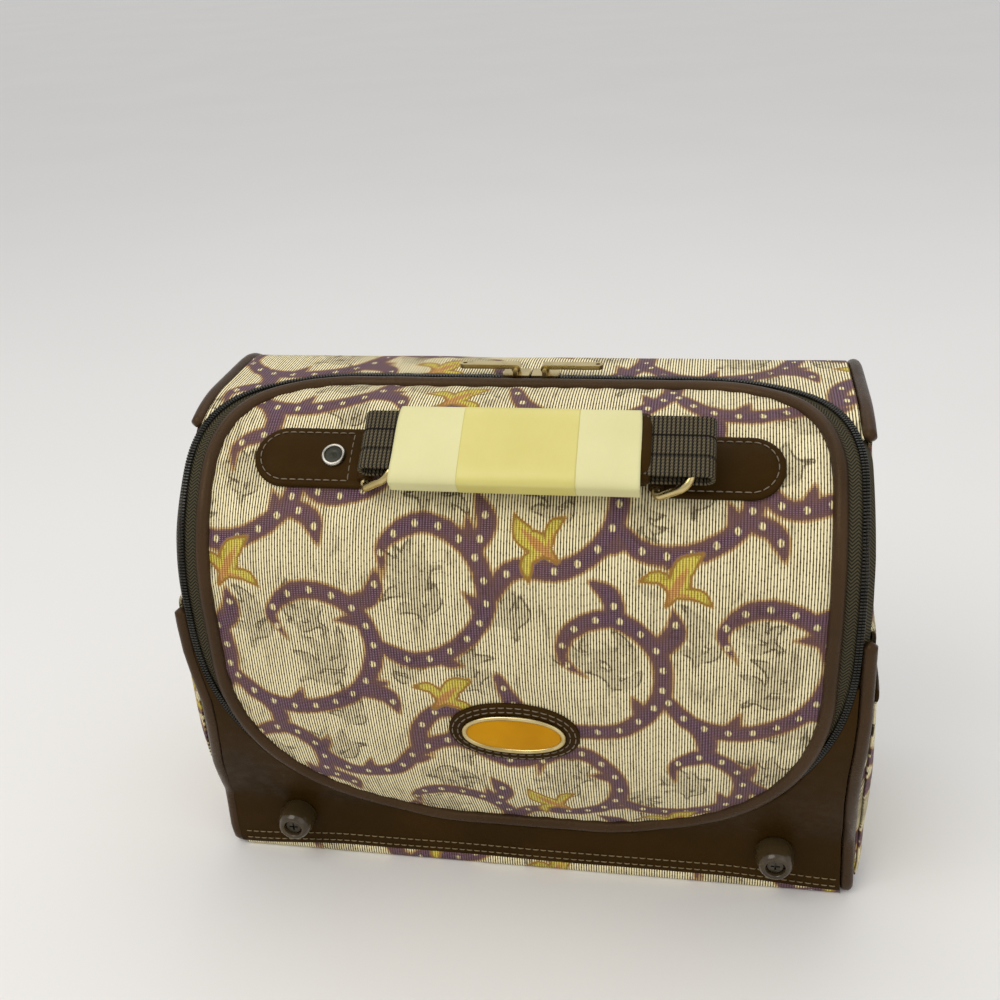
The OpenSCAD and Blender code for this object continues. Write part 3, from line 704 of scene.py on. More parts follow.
def webbing_finish():
    made, inputs, w = new_finish("webbing")
    uv, along, across = cloth_place(w)
    knit = (across + along.maths("PINGPONG", along, 0.85) * 1.1).wave(1.4)
    column = (along + across.wave(1.4) * 0.35).wave(1.7)
    fuzz = uv.noise(200.0, 2.0)
    seam = across.maths("ABSOLUTE", across.maths("ABSOLUTE", across) - WEB_SEAM).step(0.75, 0.3)
    rope = column.step(0.04, 0.6)
    shown = rope * (0.4 + knit * 0.65) + fuzz * 0.2 - 0.16 - seam * 0.5
    tone = shown.mix(rgb(10, 7, 3), rgb(108, 97, 72))
    feed(inputs, {"Base Color": tone, "Roughness": 0.75, "Specular IOR Level": 0.2,
                  "Normal": bumped(rope + knit * 0.5 + fuzz * 0.4, 0.3, 0.9)})
    return made


def plain_finish(name, tone, deep, rough, metal=0.0, scale=60.0, gloss=0.5):
    """A hard finish with faint smudges: two tones, a range of roughness and a fine surface."""
    made, inputs, w = new_finish(name)
    place = object_place(w)
    cloud = place.noise(scale, 4.0)
    fine = place.noise(scale * 22, 2.0)
    feed(inputs, {"Base Color": cloud.step(0.3, 0.7).mix(rgb(*deep), rgb(*tone)), "Metallic": metal,
                  "Roughness": between(rough, cloud.step(0.35, 0.65)), "Specular IOR Level": gloss,
                  "Normal": bumped(fine + cloud, 0.02, 0.5)})
    return made


def paper_finish(name, tone, deep, rough, coat):
    made, inputs, w = new_finish(name)
    place = object_place(w)
    cloud = place.noise(24.0, 3.0)
    fibre = place.noise(700.0, 3.0, (1, 0.5, 0.5))
    crease = place.noise(90.0, 4.0, (0.35, 1, 1))
    feed(inputs, {"Base Color": (cloud.step(0.3, 0.7) * 0.7 + fibre * 0.3).mix(rgb(*deep), rgb(*tone)),
                  "Roughness": rough, "Coat Weight": coat, "Coat Roughness": 0.15,
                  "Normal": bumped(crease * 1.5 + fibre * 0.3, 0.3, 0.5)})
    return made


# Where the webbing's two rows of sewing are, from its middle
WEB_SEAM = 4.4
TAPESTRY = tapestry_finish()
VINYL = vinyl_finish("vinyl", (53, 35, 9), (43, 28, 5), (0.36, 0.52), 0.08)
PIPING = vinyl_finish("piping_vinyl", (64, 47, 32), (51, 37, 24), (0.24, 0.36), 0.22)
THREAD = thread_finish("pale_thread", (140, 123, 88), (108, 93, 62))
TAB_THREAD = thread_finish("grey_thread", (126, 112, 92), (94, 82, 64))
LINING = lining_finish()
ZIP_TAPE = tape_finish("zip_tape", (80, 73, 50), (13, 12, 7))
ZIP_TEETH = plain_finish("zip_teeth", (40, 38, 30), (20, 20, 16), (0.26, 0.4))
WEBBING = webbing_finish()
PAPER = paper_finish("sleeve_paper", (218, 214, 159), (209, 203, 146), 0.6, 0.0)
BAND = paper_finish("sleeve_band", (212, 202, 120), (202, 191, 105), 0.38, 0.12)
BRASS = plain_finish("brass", (214, 196, 142), (188, 168, 112), (0.18, 0.32), 1.0, 90.0)
STEEL = plain_finish("steel", (200, 196, 186), (168, 163, 152), (0.2, 0.38), 1.0, 120.0)
DARK_STEEL = plain_finish("screw_steel", (96, 90, 80), (66, 60, 52), (0.3, 0.5), 1.0, 160.0)
ENAMEL = plain_finish("enamel", (200, 142, 1), (186, 128, 0), (0.2, 0.28), 0.0, 40.0, 0.1)
RIVET_FACE = plain_finish("rivet_face", (46, 46, 32), (34, 34, 22), (0.3, 0.44), 0.0, 150.0, 0.3)
FOOT = plain_finish("foot_plastic", (68, 55, 33), (54, 43, 25), (0.12, 0.22), 0.0, 70.0)
BOARD = plain_finish("board", (92, 76, 58), (70, 56, 42), (0.7, 0.85), 0.0, 110.0)


# Body panels

SIDE_LOW, SIDE_HIGH = 6.6, BODY_H - CHANNEL
# How far the front seams are drawn in at heights; the left one stands out at the foot
PINCH = {
    -1: ([0, 6, 12, 33, 47, 61, 79, 94, 108, 120, 136, 150],
         [-2.5, -3.4, -4.8, -4.8, -2.6, -0.6, 2.4, 4.2, 4.8, 3.2, 0.8, 0]),
    1: ([0, 20, 45, 68, 87, 104, 120, 150], [-0.8, -0.3, 0.6, 1.8, 1.7, 0.6, 0, 0]),
}
# How far the side panels stand out in the middle at heights
FULL_Z = [6.6, 10, 16, 40, 80, 120, 150, 200, 228]
FULL = {-1: [1.6, 4.4, 6.6, 8.4, 7.4, 3.0, 1.2, 0.8, 0], 1: [1.6, 4.4, 6.2, 6.8, 5.6, 3.0, 1.2, 0.8, 0]}
# A side panel's free edge beside the zip: how far behind the skin, how far drawn in, and where that ends
FREE_BACK, FREE_IN, FREE_TOP = 4.5, 3.2, 228
POCKET_TOP, POCKET_OFF, POCKET_SLACK = 125, 1.35, 1.3
LIP_Z, LIP_R, LIP_TALL, LIP_SIDES = 127.5, 1.15, 2.7, 14
BASE_R = 2.4
STRIP_DROP, STRIP_FROM, STRIP_TO = 3.2, 88, 146
# Thicknesses of the sheets
APRON_T, CLOTH_T, SIDE_T, POCKET_T, LID_CLOTH_T, LINING_T = 2.2, 1.6, 1.4, 1.0, 1.2, 0.6


def lace(inner, outer, count):
    """A net of flat points between two lines of the same length."""
    t = np.linspace(0, 1, count + 1)[None, :, None]
    return inner[:, None] * (1 - t) + outer[:, None] * t


def joined(right, left):
    """A net of a right half with a left half before it, which is turned over and joined in the middle."""
    left = left[::-1] * [-1, 1]
    return np.concatenate([left[:-1], right])


def ripple(a, b, size):
    """A fixed, gentle unevenness of cloth, by place."""
    return size * (np.sin(a / 17 + 1.3 * np.sin(b / 29)) * np.sin(b / 23 + 0.7)
                   + 0.5 * np.sin(a / 9.5 + b / 13 + 0.4) + 0.3 * np.sin(b / 7.3 - a / 11 + 2.1))


def apron_ripple(x, s):
    return ripple(x * 0.8, s * 0.8, 0.16)


def pinch(z, sign):
    return np.interp(z, *PINCH[sign])


def strip_drop(x):
    """How far the strip under the apron narrows towards the base's corners."""
    return STRIP_DROP * smooth_step(STRIP_FROM, STRIP_TO, np.abs(x))


def zip_edge(z, gap):
    """How far out the edge for the zip is at heights on the front."""
    r = ZIP_LOW[2] + ZIP_OUT + gap
    return ZIP_LOW[0] + np.sqrt(np.maximum(r ** 2 - (ZIP_LOW[1] - z) ** 2, 0))


def apron_half(low, gap, margin, sign):
    """Half of the apron's flat net, from the lid's and the zip's edge out to a side seam and the strip."""
    bottom_n, zip_from, corner_from, seam_from = 15, 40, 62, 60
    angle = np.radians(np.concatenate([np.linspace(-90, -20, 74), np.linspace(-19, 0, 20)]))
    r = RIM_LOW[2] + RIM_GAP + gap
    z = np.append(RIM_LOW[1] + r * np.sin(angle), HORN_Z)
    x = np.append(RIM_LOW[0] + r * np.cos(angle), RIM_LOW[0] + r)
    x = np.where(z > zip_from, np.maximum(x, zip_edge(z, gap)), x)
    x = np.concatenate([np.linspace(0, RIM_LOW[0], bottom_n + 1)[:-1], x])
    z = np.concatenate([np.full(bottom_n, z[0]), z])
    turn = int(np.argmax(z > corner_from))
    bottom_x = x[:turn] / x[turn] * (half_w(low) - margin - pinch(low, sign))
    side_z = np.linspace(low, HORN_Z, len(x) - turn)
    side_x = half_w(side_z) - margin - pinch(side_z, sign)
    side_x = np.where(side_z > seam_from, np.maximum(side_x, zip_edge(side_z, gap) + 0.5), side_x)
    outer = np.stack([np.append(bottom_x, side_x), np.append(np.full(turn, low), side_z)], axis=1)
    outer[:, 1] -= strip_drop(outer[:, 0]) * smooth_step(40, low, outer[:, 1])
    return lace(np.stack([x, z], axis=1), outer, 30)


def apron_sheet(h, low, gap, margin):
    """The apron's points at a height off the skin, and its flat net."""
    net = joined(apron_half(low, gap, margin, 1), apron_half(low, gap, margin, -1))
    net[..., 1] = run_at_front(net[..., 1])
    return on_skin(net, h + apron_ripple(net[..., 0], net[..., 1])), net


def top_net(gap, margin):
    """The top's flat net, from the zip's edge to the back and side seams."""
    side_n, middle_n = 40, 29
    bend = np.radians(np.linspace(15.7, 90, 60))
    r = RIM_TOP[2] + ZIP_OUT + gap
    x = np.concatenate([RIM_TOP[0] + r * np.cos(bend), np.linspace(RIM_TOP[0], 0, middle_n + 1)[1:]])
    s = run_at_top(np.concatenate([RIM_TOP[1] + r * np.sin(bend), np.full(middle_n, RIM_TOP[1] + r)]))
    back = run_at_back(BODY_H - BACK_R)
    side_s = np.linspace(s[0], back, side_n)
    side_x = half_w(skin_side(side_s, 0)[1]) - margin
    across = np.linspace(side_x[-1], 0, len(x) - side_n + 1)[1:]
    outer = np.stack([np.append(side_x, across), np.append(side_s, np.full(len(across), back))], axis=1)
    half = lace(np.stack([x, s], axis=1), outer, 36)[::-1]
    return joined(half, half)


def back_net(margin, low):
    s = np.linspace(run_at_back(BODY_H - BACK_R), run_at_back(low), 84)
    edge = half_w(skin_side(s, 0)[1]) - margin
    u = np.linspace(-1, 1, 121)
    return np.stack(np.broadcast_arrays(edge[:, None] * u, s[:, None]), axis=-1)


def side_edges(z, inset, free):
    """A side panel's front and back edges at heights; a free front edge comes forward beside the zip."""
    z0, z1 = BINDING_Z + 3, SHOULDER_Z + SHOULDER_R * math.sin(math.radians(BROW_SLOPE)) - 4
    height = side_line[:TOP_AT + 1, 1]
    opened = smooth_step(z0, z0 + 5, height) * smooth_step(z1 + 4, z1 - 1, height) if free else 0
    fy, fz = skin_side(RUN[:TOP_AT + 1], -inset * (1 - opened) - FREE_BACK * opened)
    by, bz = skin_side(RUN[BACK_AT:], -inset)
    return np.interp(z, fz, fy), np.interp(-z, -bz, by)


def side_net(inset, low, high, rows, cols, free=True):
    """A side panel's net in y and z, with its columns closer together at the seams."""
    t = np.linspace(0, 1, rows)
    z = low + (high - low) * (t + 0.16 * np.sin(np.pi * t) * t)
    z = np.clip(z / z[-1] * high, low, high)
    front, back = side_edges(z, inset, free)
    v = 0.5 - 0.5 * np.cos(np.linspace(0, np.pi, cols))
    y = front[:, None] + (back - front)[:, None] * v
    return y, np.broadcast_to(z[:, None], y.shape)


def side_flat(x, y, z, sign):
    """Where a side panel's points lie on the flat cloth: along each row's own surface, from its middle."""
    step = np.hypot(np.diff(x, axis=1), np.diff(y, axis=1))
    along = np.concatenate([np.zeros((len(x), 1)), np.cumsum(step, axis=1)], axis=1)
    middle = y.shape[1] // 2
    along += (y - along)[:, middle:middle + 1]
    return np.stack([along * sign, z], axis=-1)


def side_bulge(y, z, sign):
    """How far a side panel stands out: full in the middle and drawn in with the front seam."""
    front, back = side_edges(z, CHANNEL, False)
    dome = np.sin(np.pi * np.clip((y - front) / (back - front), 0, 1))
    behind = np.maximum(y - front, 0)
    full = np.interp(z, FULL_Z, FULL[sign]) * dome ** 0.28 + ripple(y, z, 0.3) * dome
    free = FREE_IN * smooth_step(BINDING_Z, BINDING_Z + 8, z) * smooth_step(FREE_TOP, FREE_TOP - 12, z)
    return full - np.maximum(pinch(z, sign) * np.exp(-behind / 2.5), free * np.exp(-behind / 9))


def side_cloth(name, sign):
    y, z = side_net(CHANNEL, SIDE_LOW, SIDE_HIGH, 118, 90)
    x = sign * (half_w(z) + side_bulge(y, z, sign))
    sheet_piece("side_cloth_" + name, np.stack([x, y, z], axis=-1), side_flat(x, y, z, sign), "body",
                TAPESTRY, "tapestry", "side_panel_" + name, SIDE_T,
                (40 * sign, 17))


def pocket(name, sign):
    """A side pocket's cloth, squarely off the side panel, and the vinyl lip along its top."""
    inset = CHANNEL + 1
    y, z = side_net(inset, SIDE_LOW + 1, POCKET_TOP, 62, 86, free=False)
    front, back = side_edges(z, inset, False)
    slack = np.sin(np.pi * (y - front) / (back - front)) * smooth_step(30, 118, z)
    x = half_w(z) + side_bulge(y, z, sign)
    rise, run = np.gradient(x, axis=1), np.gradient(y, axis=1)
    off = (POCKET_OFF + POCKET_SLACK * slack) / np.hypot(rise, run)
    x, y = sign * (x + run * off), y - rise * off
    sheet_piece("pocket_cloth_" + name, np.stack([x, y, z], axis=-1), side_flat(x, y, z, sign), "body",
                TAPESTRY, "tapestry", "side_pocket_" + name, POCKET_T,
                (93 * sign, 60))
    t = np.linspace(0.01, 0.99, 60)
    z = np.full(len(t), LIP_Z)
    front, back = side_edges(z, inset, False)
    y = front + (back - front) * t
    x = half_w(z) + side_bulge(y, z, sign) + 1.1 + POCKET_SLACK * np.sin(np.pi * t)
    path = np.stack([sign * x, y, z], axis=1)
    rings = tube_points(path, np.tile([0, 0, 1.0], (len(t), 1)), LIP_R, LIP_SIDES)
    rings[..., 2] = LIP_Z + (rings[..., 2] - LIP_Z) * LIP_TALL
    piece("pocket_lip_" + name, *capped(rings), "body", VINYL, "vinyl", ["pocket_binding_" + name],
          closed=True)


def cord_piece(name, path, across, radius, sides, body, node, closed=False):
    """A round cord of piping along a path, with its ends filled if it isn't a closed one."""
    rings = tube_points(path, across, radius, sides, closed)
    points, faces = (rings, grid_faces(len(path), sides, True, True)) if closed else capped(rings)
    piece(name, points, faces, body, PIPING, "vinyl", [node], closed=True)


def edge_binding(name, sign):
    """The cord round a side panel, from beside the zip down, under the base, up the back and over the top."""
    sink, floor, bend, low_z = 2.2, 3.2, 3.4, 9
    front = skin_side(np.linspace(run_at_front(BINDING_Z), run_at_front(low_z), 70), -sink)
    top = run_at_top(SHOULDER_Y - SHOULDER_R * 0.4)
    back = skin_side(np.linspace(run_at_back(low_z), top, 120), -sink)
    line = [np.stack(front, axis=1),
            arc(Y_FRONT + sink + bend, floor + bend, bend, 180, 270, 9),
            np.stack([np.linspace(-50, 50, 30), np.full(30, floor)], axis=1),
            arc(Y_BACK - sink - bend, floor + bend, bend, -90, 0, 9),
            np.stack(back, axis=1)]
    line, at = resample(np.concatenate(line), 2.2)
    y, z = line.T
    drawn = pinch(z, sign)
    drawn = np.where(drawn < 0, 0.6, 1) * drawn * smooth_step(-40, -56, y)
    path = np.stack([sign * (half_w(z) - sink - drawn), y, z], axis=1)
    ends = np.minimum(at, at[-1] - at)
    radius = 3.0 * np.sqrt(np.clip(1 - (1 - np.clip(ends / 2.5, 0, 1)) ** 2, 0.02, 1))
    cord_piece("edge_binding_" + name + "_cord", path, np.tile([sign, 0.0, 0.0], (len(path), 1)), radius, 16,
               "body", "edge_binding_" + name)


def base_line():
    """The base's line in Y and Z from the front strip's top to the back's, with rounded corners."""
    return np.concatenate([[[Y_FRONT, STRIP_H]], arc(Y_FRONT + BASE_R, BASE_R, BASE_R, 180, 270, 8),
                           arc(Y_BACK - BASE_R, BASE_R, BASE_R, -90, 0, 8), [[Y_BACK, STRIP_H]]])


def body_panels():
    points, net = apron_sheet(0.0, STRIP_H + SEAM_GAP, APRON_GAP, CHANNEL)
    sheet_piece("apron", points, net, "body", VINYL, "vinyl", "front_apron", APRON_T)
    for name, sign in SIDES.items():
        side_cloth(name, sign)
        pocket(name, sign)
        edge_binding(name, sign)
    net = top_net(APRON_GAP, CHANNEL)
    edge = np.minimum(np.arange(net.shape[1]), np.arange(net.shape[1])[::-1]) / 18
    points = on_skin(net, ripple(net[..., 0], net[..., 1], 0.2) * edge)
    sheet_piece("top_cloth", points, net, "body", TAPESTRY, "tapestry", "top_panel", CLOTH_T,
                (21, 5))
    net = back_net(CHANNEL, STRIP_H + SEAM_GAP)
    t = np.linspace(0, 1, net.shape[0])[:, None]
    u = np.linspace(-1, 1, net.shape[1])[None]
    swell = 2.4 * np.sin(np.pi * t) ** 0.8 * (1 - u ** 2) ** 0.6
    uneven = ripple(net[..., 0], net[..., 1], 0.3) * np.sin(np.pi * t) * (1 - u ** 2)
    sheet_piece("back_cloth", on_skin(net, swell + uneven), -net, "body", TAPESTRY, "tapestry", "back_panel",
                CLOTH_T, (11, 29))
    line, at = resample(base_line(), 2.0)
    y, z = line[:, :1], line[:, 1:]
    x = np.linspace(-1, 1, 120)[None] * (half_w(z) - CHANNEL + 0.8)
    rise = np.where(y < 0, np.maximum(z - BASE_R, 0) / (STRIP_H - BASE_R), 0)
    points = np.stack(np.broadcast_arrays(x, y, z - rise * strip_drop(x)), axis=-1)
    flat = np.stack(np.broadcast_arrays(x, -at[:, None]), axis=-1)
    sheet_piece("base_cloth", points, flat, "body", TAPESTRY, "tapestry", "base_panel", CLOTH_T,
                (64, 88))
    body_lining()
    x = np.linspace(-147, 145.2, 243)
    runs = []
    for z in (8.7, 12.9):
        s = run_at_front(z - strip_drop(x))
        runs.append((skin(x, s, apron_ripple(x, s)), skin_normal(s)))
    stitches("apron_stitches", runs, "body", THREAD)


def body_lining():
    """One sewn lining: front, top, back and floor as nets, and the two sides."""
    depth, margin, floor, apart = 3.7, 6.9, 4.8, 400
    parts = [apron_sheet(-depth, floor, 0.4, margin)]
    net = top_net(0.0, margin)
    parts.append((on_skin(net, -depth), net))
    net = back_net(margin, floor)
    parts.append((on_skin(net, -depth + ripple(net[..., 0], net[..., 1], 0.2)), net))
    y = np.linspace(Y_FRONT + depth, Y_BACK - depth, 50)
    y, x = np.meshgrid(y, np.linspace(-1, 1, 90), indexing="ij")
    x = x * (half_w(floor) - margin)
    parts.append((np.stack([x, y, np.full(x.shape, floor)], axis=-1), np.stack([x, y], axis=-1)))
    for sign in SIDES.values():
        y, z = side_net(depth, floor, BODY_H - depth, 80, 50, free=False)
        x = sign * (half_w(z) - margin - 0.6 * np.abs(ripple(y, z, 0.5)))
        parts.append((np.stack([x, y, z], axis=-1), np.stack([y + sign * apart, z], axis=-1)))
    points, flats, faces, base, area = [], [], [], 0, 0
    for net, flat in parts:
        shell = grid_faces(*net.shape[:2])
        points.append(net.reshape(-1, 3))
        flats.append(flat.reshape(-1, 2))
        faces.append(faced_out(points[-1], shell, INSIDE) + base)
        area += flat_area(flat, shell)
        base += len(points[-1])
    made = piece("bag_lining", np.concatenate(points), np.concatenate(faces), "body", LINING, "lining",
                 ["body_lining"], np.concatenate(flats), LINING_T)


body_panels()


# Lid

HANDLE_SLOPE = math.radians(53)
HANDLE_RUN = float(run_at_front(SHOULDER_Z + SHOULDER_R * math.sin(HANDLE_SLOPE)))
BADGE_RUN = float(run_at_front(102))
BAR_X, BAR_H, RIVET_X = 60, 3.35, 75.5
TAB_L, TAB_W, TAB_T, TAB_SEAM = 50.6, 27.6, 2.3, 2.85
BADGE_L, BADGE_H, BADGE_BORDER, OVAL_N = 58, 34, 6, 120
LID_EDGE = 1.6 - RIM_GAP
ZIP_TAPE_T, TOOTH_PITCH, TOOTH_L, TOOTH_H = 0.8, 1.35, 0.85, 0.75
# Insets and heights of the layers of a tab, of the badge's backing and plate, and of its bezel's round
TAB_LAYERS = ((0.3, 0.12), (0, 0.5), (0, 1.7), (0.35, 2.2), (1.0, 2.42), (2.2, 2.45), (2.6, 2.25),
              (3.1, 2.25), (3.5, 2.5))
BACKING_LAYERS = ((0.3, 0.1), (0, 0.4), (0, 1.1), (0.4, 1.5), (1.0, 1.62), (4.6, 1.66), (5.2, 1.5), (7, 1.45))
PLATE_LAYERS = ((0, 1.6), (0, 2.35), (0.5, 2.5), (2.5, 2.62), (5, 2.68))
BEZEL = ((0, 1.6), (0, 2.4), (0.25, 2.85), (0.7, 3.12), (1.1, 3.16), (1.5, 3.05), (1.95, 2.7), (2.2, 2.3),
         (2.2, 1.6))
# Radii and heights of a rivet's bright rolled ring and of its dark face
RIVET_RING = ((3.8, 0.2), (3.8, 1.35), (4.1, 1.66), (4.5, 1.74), (4.9, 1.52), (5.2, 0.9), (5.2, 0.1))
RIVET_MIDDLE = ((0.02, 1.2), (2.4, 1.18), (3.5, 1.1), (3.85, 0.95), (3.85, 0.2), (0.02, 0.2))


def lid_height(x, s, edge, along):
    """How far the padded cloth stands off the skin: drawn in at the seam, under the tabs and at the badge."""
    tab = np.hypot(np.maximum(np.abs(np.abs(x) - 84) - 27, 0), np.maximum(np.abs(s - HANDLE_RUN) - 14, 0))
    badge_off = np.hypot(x / 30, (s - BADGE_RUN) / 18) - 1
    free = smooth_step(0.5, 14, tab) * smooth_step(0.03, 0.7, badge_off)
    puff = 1.9 * smooth_step(0, 34, edge) - 0.5 * smooth_step(6, 0, edge)
    pucker = 0.34 * np.exp(-edge / 8) * smooth_step(0, 2, edge) * np.sin(along / 2.1 + 2 * np.sin(along / 31))
    return puff * free + pucker + ripple(x, s, 0.34) * smooth_step(2, 26, edge) * free


def lid_net(grow):
    x, s = outline_half(grow, RIM_LOW, ends=False)
    u = np.linspace(-1, 1, 161)
    return np.stack(np.broadcast_arrays(x[:, None] * u, s[:, None]), axis=-1)


def lid_cloth():
    net = lid_net(LID_EDGE)
    line, at = resample(np.stack(both_halves(*outline_half(LID_EDGE, RIM_LOW)), axis=1), 1.5)
    edge, along = np.empty(net.shape[:2]), np.empty(net.shape[:2])
    for k, row in enumerate(net):
        gap = np.hypot(row[:, None, 0] - line[:, 0], row[:, None, 1] - line[:, 1])
        edge[k] = gap.min(1)
        along[k] = at[gap.argmin(1)]
    h = lid_height(net[..., 0], net[..., 1], edge, along)
    sheet_piece("lid_cloth", on_skin(net, h), net, "lid", TAPESTRY, "tapestry", "lid_panel", LID_CLOTH_T,
                (7, 41))
    net = lid_net(-RIM_GAP)[::2, ::2]
    h = -LID_T - 0.3 + ripple(net[..., 0], net[..., 1], 0.18)
    sheet_piece("lid_lining_cloth", on_skin(net, h), net, "lid", LINING, "lining", "lid_lining", LINING_T)


def lid_piping():
    x, s = both_halves(*outline_half(0, RIM_LOW))
    path = skin(x, s, -0.6)
    along = run_along(path)
    radius = PIPING_R + 0.07 * np.sin(along / 4.3) * np.sin(along / 17)
    cord_piece("lid_piping_cord", path, skin_normal(s), radius, 18, "lid", "lid_piping", closed=True)


def zip_line(grow):
    """The zip's outline at a distance from the piping, kept outside the piping at its lower ends."""
    x, s = outline_half(grow, ZIP_LOW)
    z = skin_side(s, 0)[1]
    dx, dz = x - RIM_LOW[0], z - RIM_LOW[1]
    r = np.hypot(dx, dz)
    least = RIM_LOW[2] + RIM_GAP - 1.0
    push = (z < RIM_LOW[1]) & (s < run_at_front(RIM_LOW[1])) & (r < least)
    x = np.where(push, RIM_LOW[0] + dx * least / r, x)
    s = np.where(push, run_at_front(RIM_LOW[1] + dz * least / r), s)
    return x, s, push


def zip_tape(name, near, far, h, body, node):
    """A strip of tape between two distances from the piping; h gives distances and heights off the skin."""
    grows = np.linspace(near, far, 6)
    lines = [zip_line(grow) for grow in grows]
    start = int(np.argmax(~lines[-1][2]))
    net = np.stack([np.stack([x, s], axis=1)[start:] for x, s, _ in lines], axis=1)
    net[..., 0] = np.minimum(net[..., 0], half_w(skin_side(net[..., 1], 0)[1]) - 1.2)
    net = joined(net[::-1], net[::-1])
    along = run_along(on_skin(net[:, 0], 0))
    flat = np.stack(np.broadcast_arrays(along[:, None], grows[None]), axis=-1)
    points = on_skin(net, np.interp(grows, *h)[None])
    piece(name, points, grid_faces(*net.shape[:2]), body, ZIP_TAPE, "zip_tape", [node], flat, ZIP_TAPE_T)


def zip_teeth(name, near, body, node, shift):
    """A row of small moulded teeth along the zip's line."""
    x, s, push = zip_line(near + TEETH_W / 2)
    start = int(np.argmax(~push))
    x, s = x[start:], s[start:]
    x, s = np.concatenate([x, -x[-2::-1]]), np.concatenate([s, s[-2::-1]])
    path = skin(x, s, -0.35)
    along = run_along(path)
    at = np.arange(2 + shift * TOOTH_PITCH, along[-1] - 2, TOOTH_PITCH)
    centre, up = at_runs(at, along, path), at_runs(at, along, skin_normal(s))
    ahead = unit(at_runs(at, along, np.gradient(path, axis=0)))
    side = np.cross(ahead, up) * (TEETH_W / 2 + 0.22)
    corners = []
    for long, wide, tall in ((1, 1, -1), (1, 1, 0.55), (0.62, 0.7, 1)):
        for a, b in ((-1, -1), (1, -1), (1, 1), (-1, 1)):
            place = centre + ahead * (a * long * TOOTH_L / 2) + side * (b * wide)
            corners.append(place + up * (tall * TOOTH_H))
    shell = [[0, 3, 2, 1], [8, 9, 10, 11]]
    for k in (0, 4):
        shell += [[k + j, k + (j + 1) % 4, k + 4 + (j + 1) % 4, k + 4 + j] for j in range(4)]
    faces = (np.array(shell)[None] + len(corners) * np.arange(len(at))[:, None, None]).reshape(-1, 4)
    made = piece(name, np.stack(corners, axis=1), faces, body, ZIP_TEETH, "zip_teeth", [node], closed=True)
    made.data.shade_flat()


def pad(name, ring, middle, layers, finish, slot, node):
    """A piece with rounded edges on the lid, from its flat outline and middle and its insets and heights."""
    gap = middle - ring
    size = np.linalg.norm(gap, axis=1)[:, None]
    deep = np.minimum(layers[-1][0] / size, 1)
    steps = [(1, layers[0][1])] + [(np.minimum(inset / size, 1), height) for inset, height in layers]
    steps += [(deep + (1 - deep) * share, layers[-1][1] + 0.12 * share) for share in (0.35, 0.7, 1.0)]
    points = np.stack([on_skin(ring + gap * inward, height) for inward, height in steps])
    faces = grid_faces(*points.shape[:2], close_cols=True)
    piece(name, points, faces, "lid", finish, slot, [node], closed=True)


def tab_ring(sign, inset):
    """A tab's flat outline and the line down its middle."""
    r = TAB_W / 2 - inset
    start, end = BAR_X + 0.6 + inset, BAR_X + TAB_L - TAB_W / 2
    straight = np.linspace(start, end, 30)[:-1]
    angle = np.radians(np.linspace(-90, 90, 56))
    x = np.concatenate([straight, end + r * np.cos(angle), straight[::-1]])
    y = np.concatenate([np.full(len(straight), -r), r * np.sin(angle), np.full(len(straight), r)])
    middle = np.stack([sign * np.clip(x, BAR_X + 8, end), np.full(len(x), HANDLE_RUN)], axis=1)
    return np.stack([sign * x, y + HANDLE_RUN], axis=1), middle


def in_handle(x, a, h):
    """Points in the handle's own frame: x along it, a up the lid, h off the shoulder."""
    n = np.array([0, -math.cos(HANDLE_SLOPE), math.sin(HANDLE_SLOPE)])
    t = np.array([0, math.sin(HANDLE_SLOPE), math.cos(HANDLE_SLOPE)])
    start = np.array([0, SHOULDER_Y, SHOULDER_Z]) + SHOULDER_R * n
    x, a, h = np.broadcast_arrays(np.asarray(x, float), a, h)
    return start + x[..., None] * np.array([1, 0, 0]) + a[..., None] * t + h[..., None] * n


def handle_tab(name, sign):
    """A stitched strap on the lid, and the loop of it round the ring's bar."""
    ring, middle = tab_ring(sign, 0)
    pad("tab_strap_" + name, ring, middle, TAB_LAYERS, VINYL, "vinyl", "handle_tab_" + name)
    angle = np.radians(np.linspace(-200, 160, 40))[:, None]
    v = np.linspace(-1, 1, 26)
    a = v * (12.5 - 0.5 * np.abs(v) ** 8)
    outer, inner = (in_handle(sign * (BAR_X + r * np.cos(angle)), a, BAR_H + r * np.sin(angle))
                    for r in (3.05, 1.82))
    loop = np.concatenate([outer, inner[:, ::-1]], axis=1)
    faces = grid_faces(*loop.shape[:2], True, True)
    piece("tab_loop_" + name, loop, faces, "lid", VINYL, "vinyl", closed=True)
    line = tab_ring(sign, TAB_SEAM)[0]
    line = line[np.abs(line[:, 0]) > BAR_X + 8]
    line = resample(np.concatenate([line, line[:1]]), 1.0)[0]
    stitches("tab_stitches_" + name, [(on_skin(line, TAB_T), skin_normal(line[:, 1]))], "lid", TAB_THREAD)


def rivets():
    """Tubular rivet heads: a bright rolled ring round a dark face."""
    for name, profile, finish, nodes in (("rivet_rings", RIVET_RING, STEEL, ["tab_rivets"]),
                                         ("rivet_faces", RIVET_MIDDLE, RIVET_FACE, [])):
        turned, shell = lathe(profile, 48)
        x, y, z = np.moveaxis(turned, -1, 0)
        points = [in_handle(sign * RIVET_X + x, y, TAB_T + 0.2 + z) for sign in SIDES.values()]
        faces = np.concatenate([shell, shell + x.size])
        piece(name, np.concatenate(points), faces, "lid", finish, "steel", nodes, closed=True)


def section(width, thick, power, count):
    """A rounded outline between an oval and a box, as two lines of places across and off."""
    angle = round_angles(count)
    across, off = (np.sign(v) * np.abs(v) ** (2 / power) for v in (np.cos(angle), np.sin(angle)))
    return across * width / 2, off * thick / 2


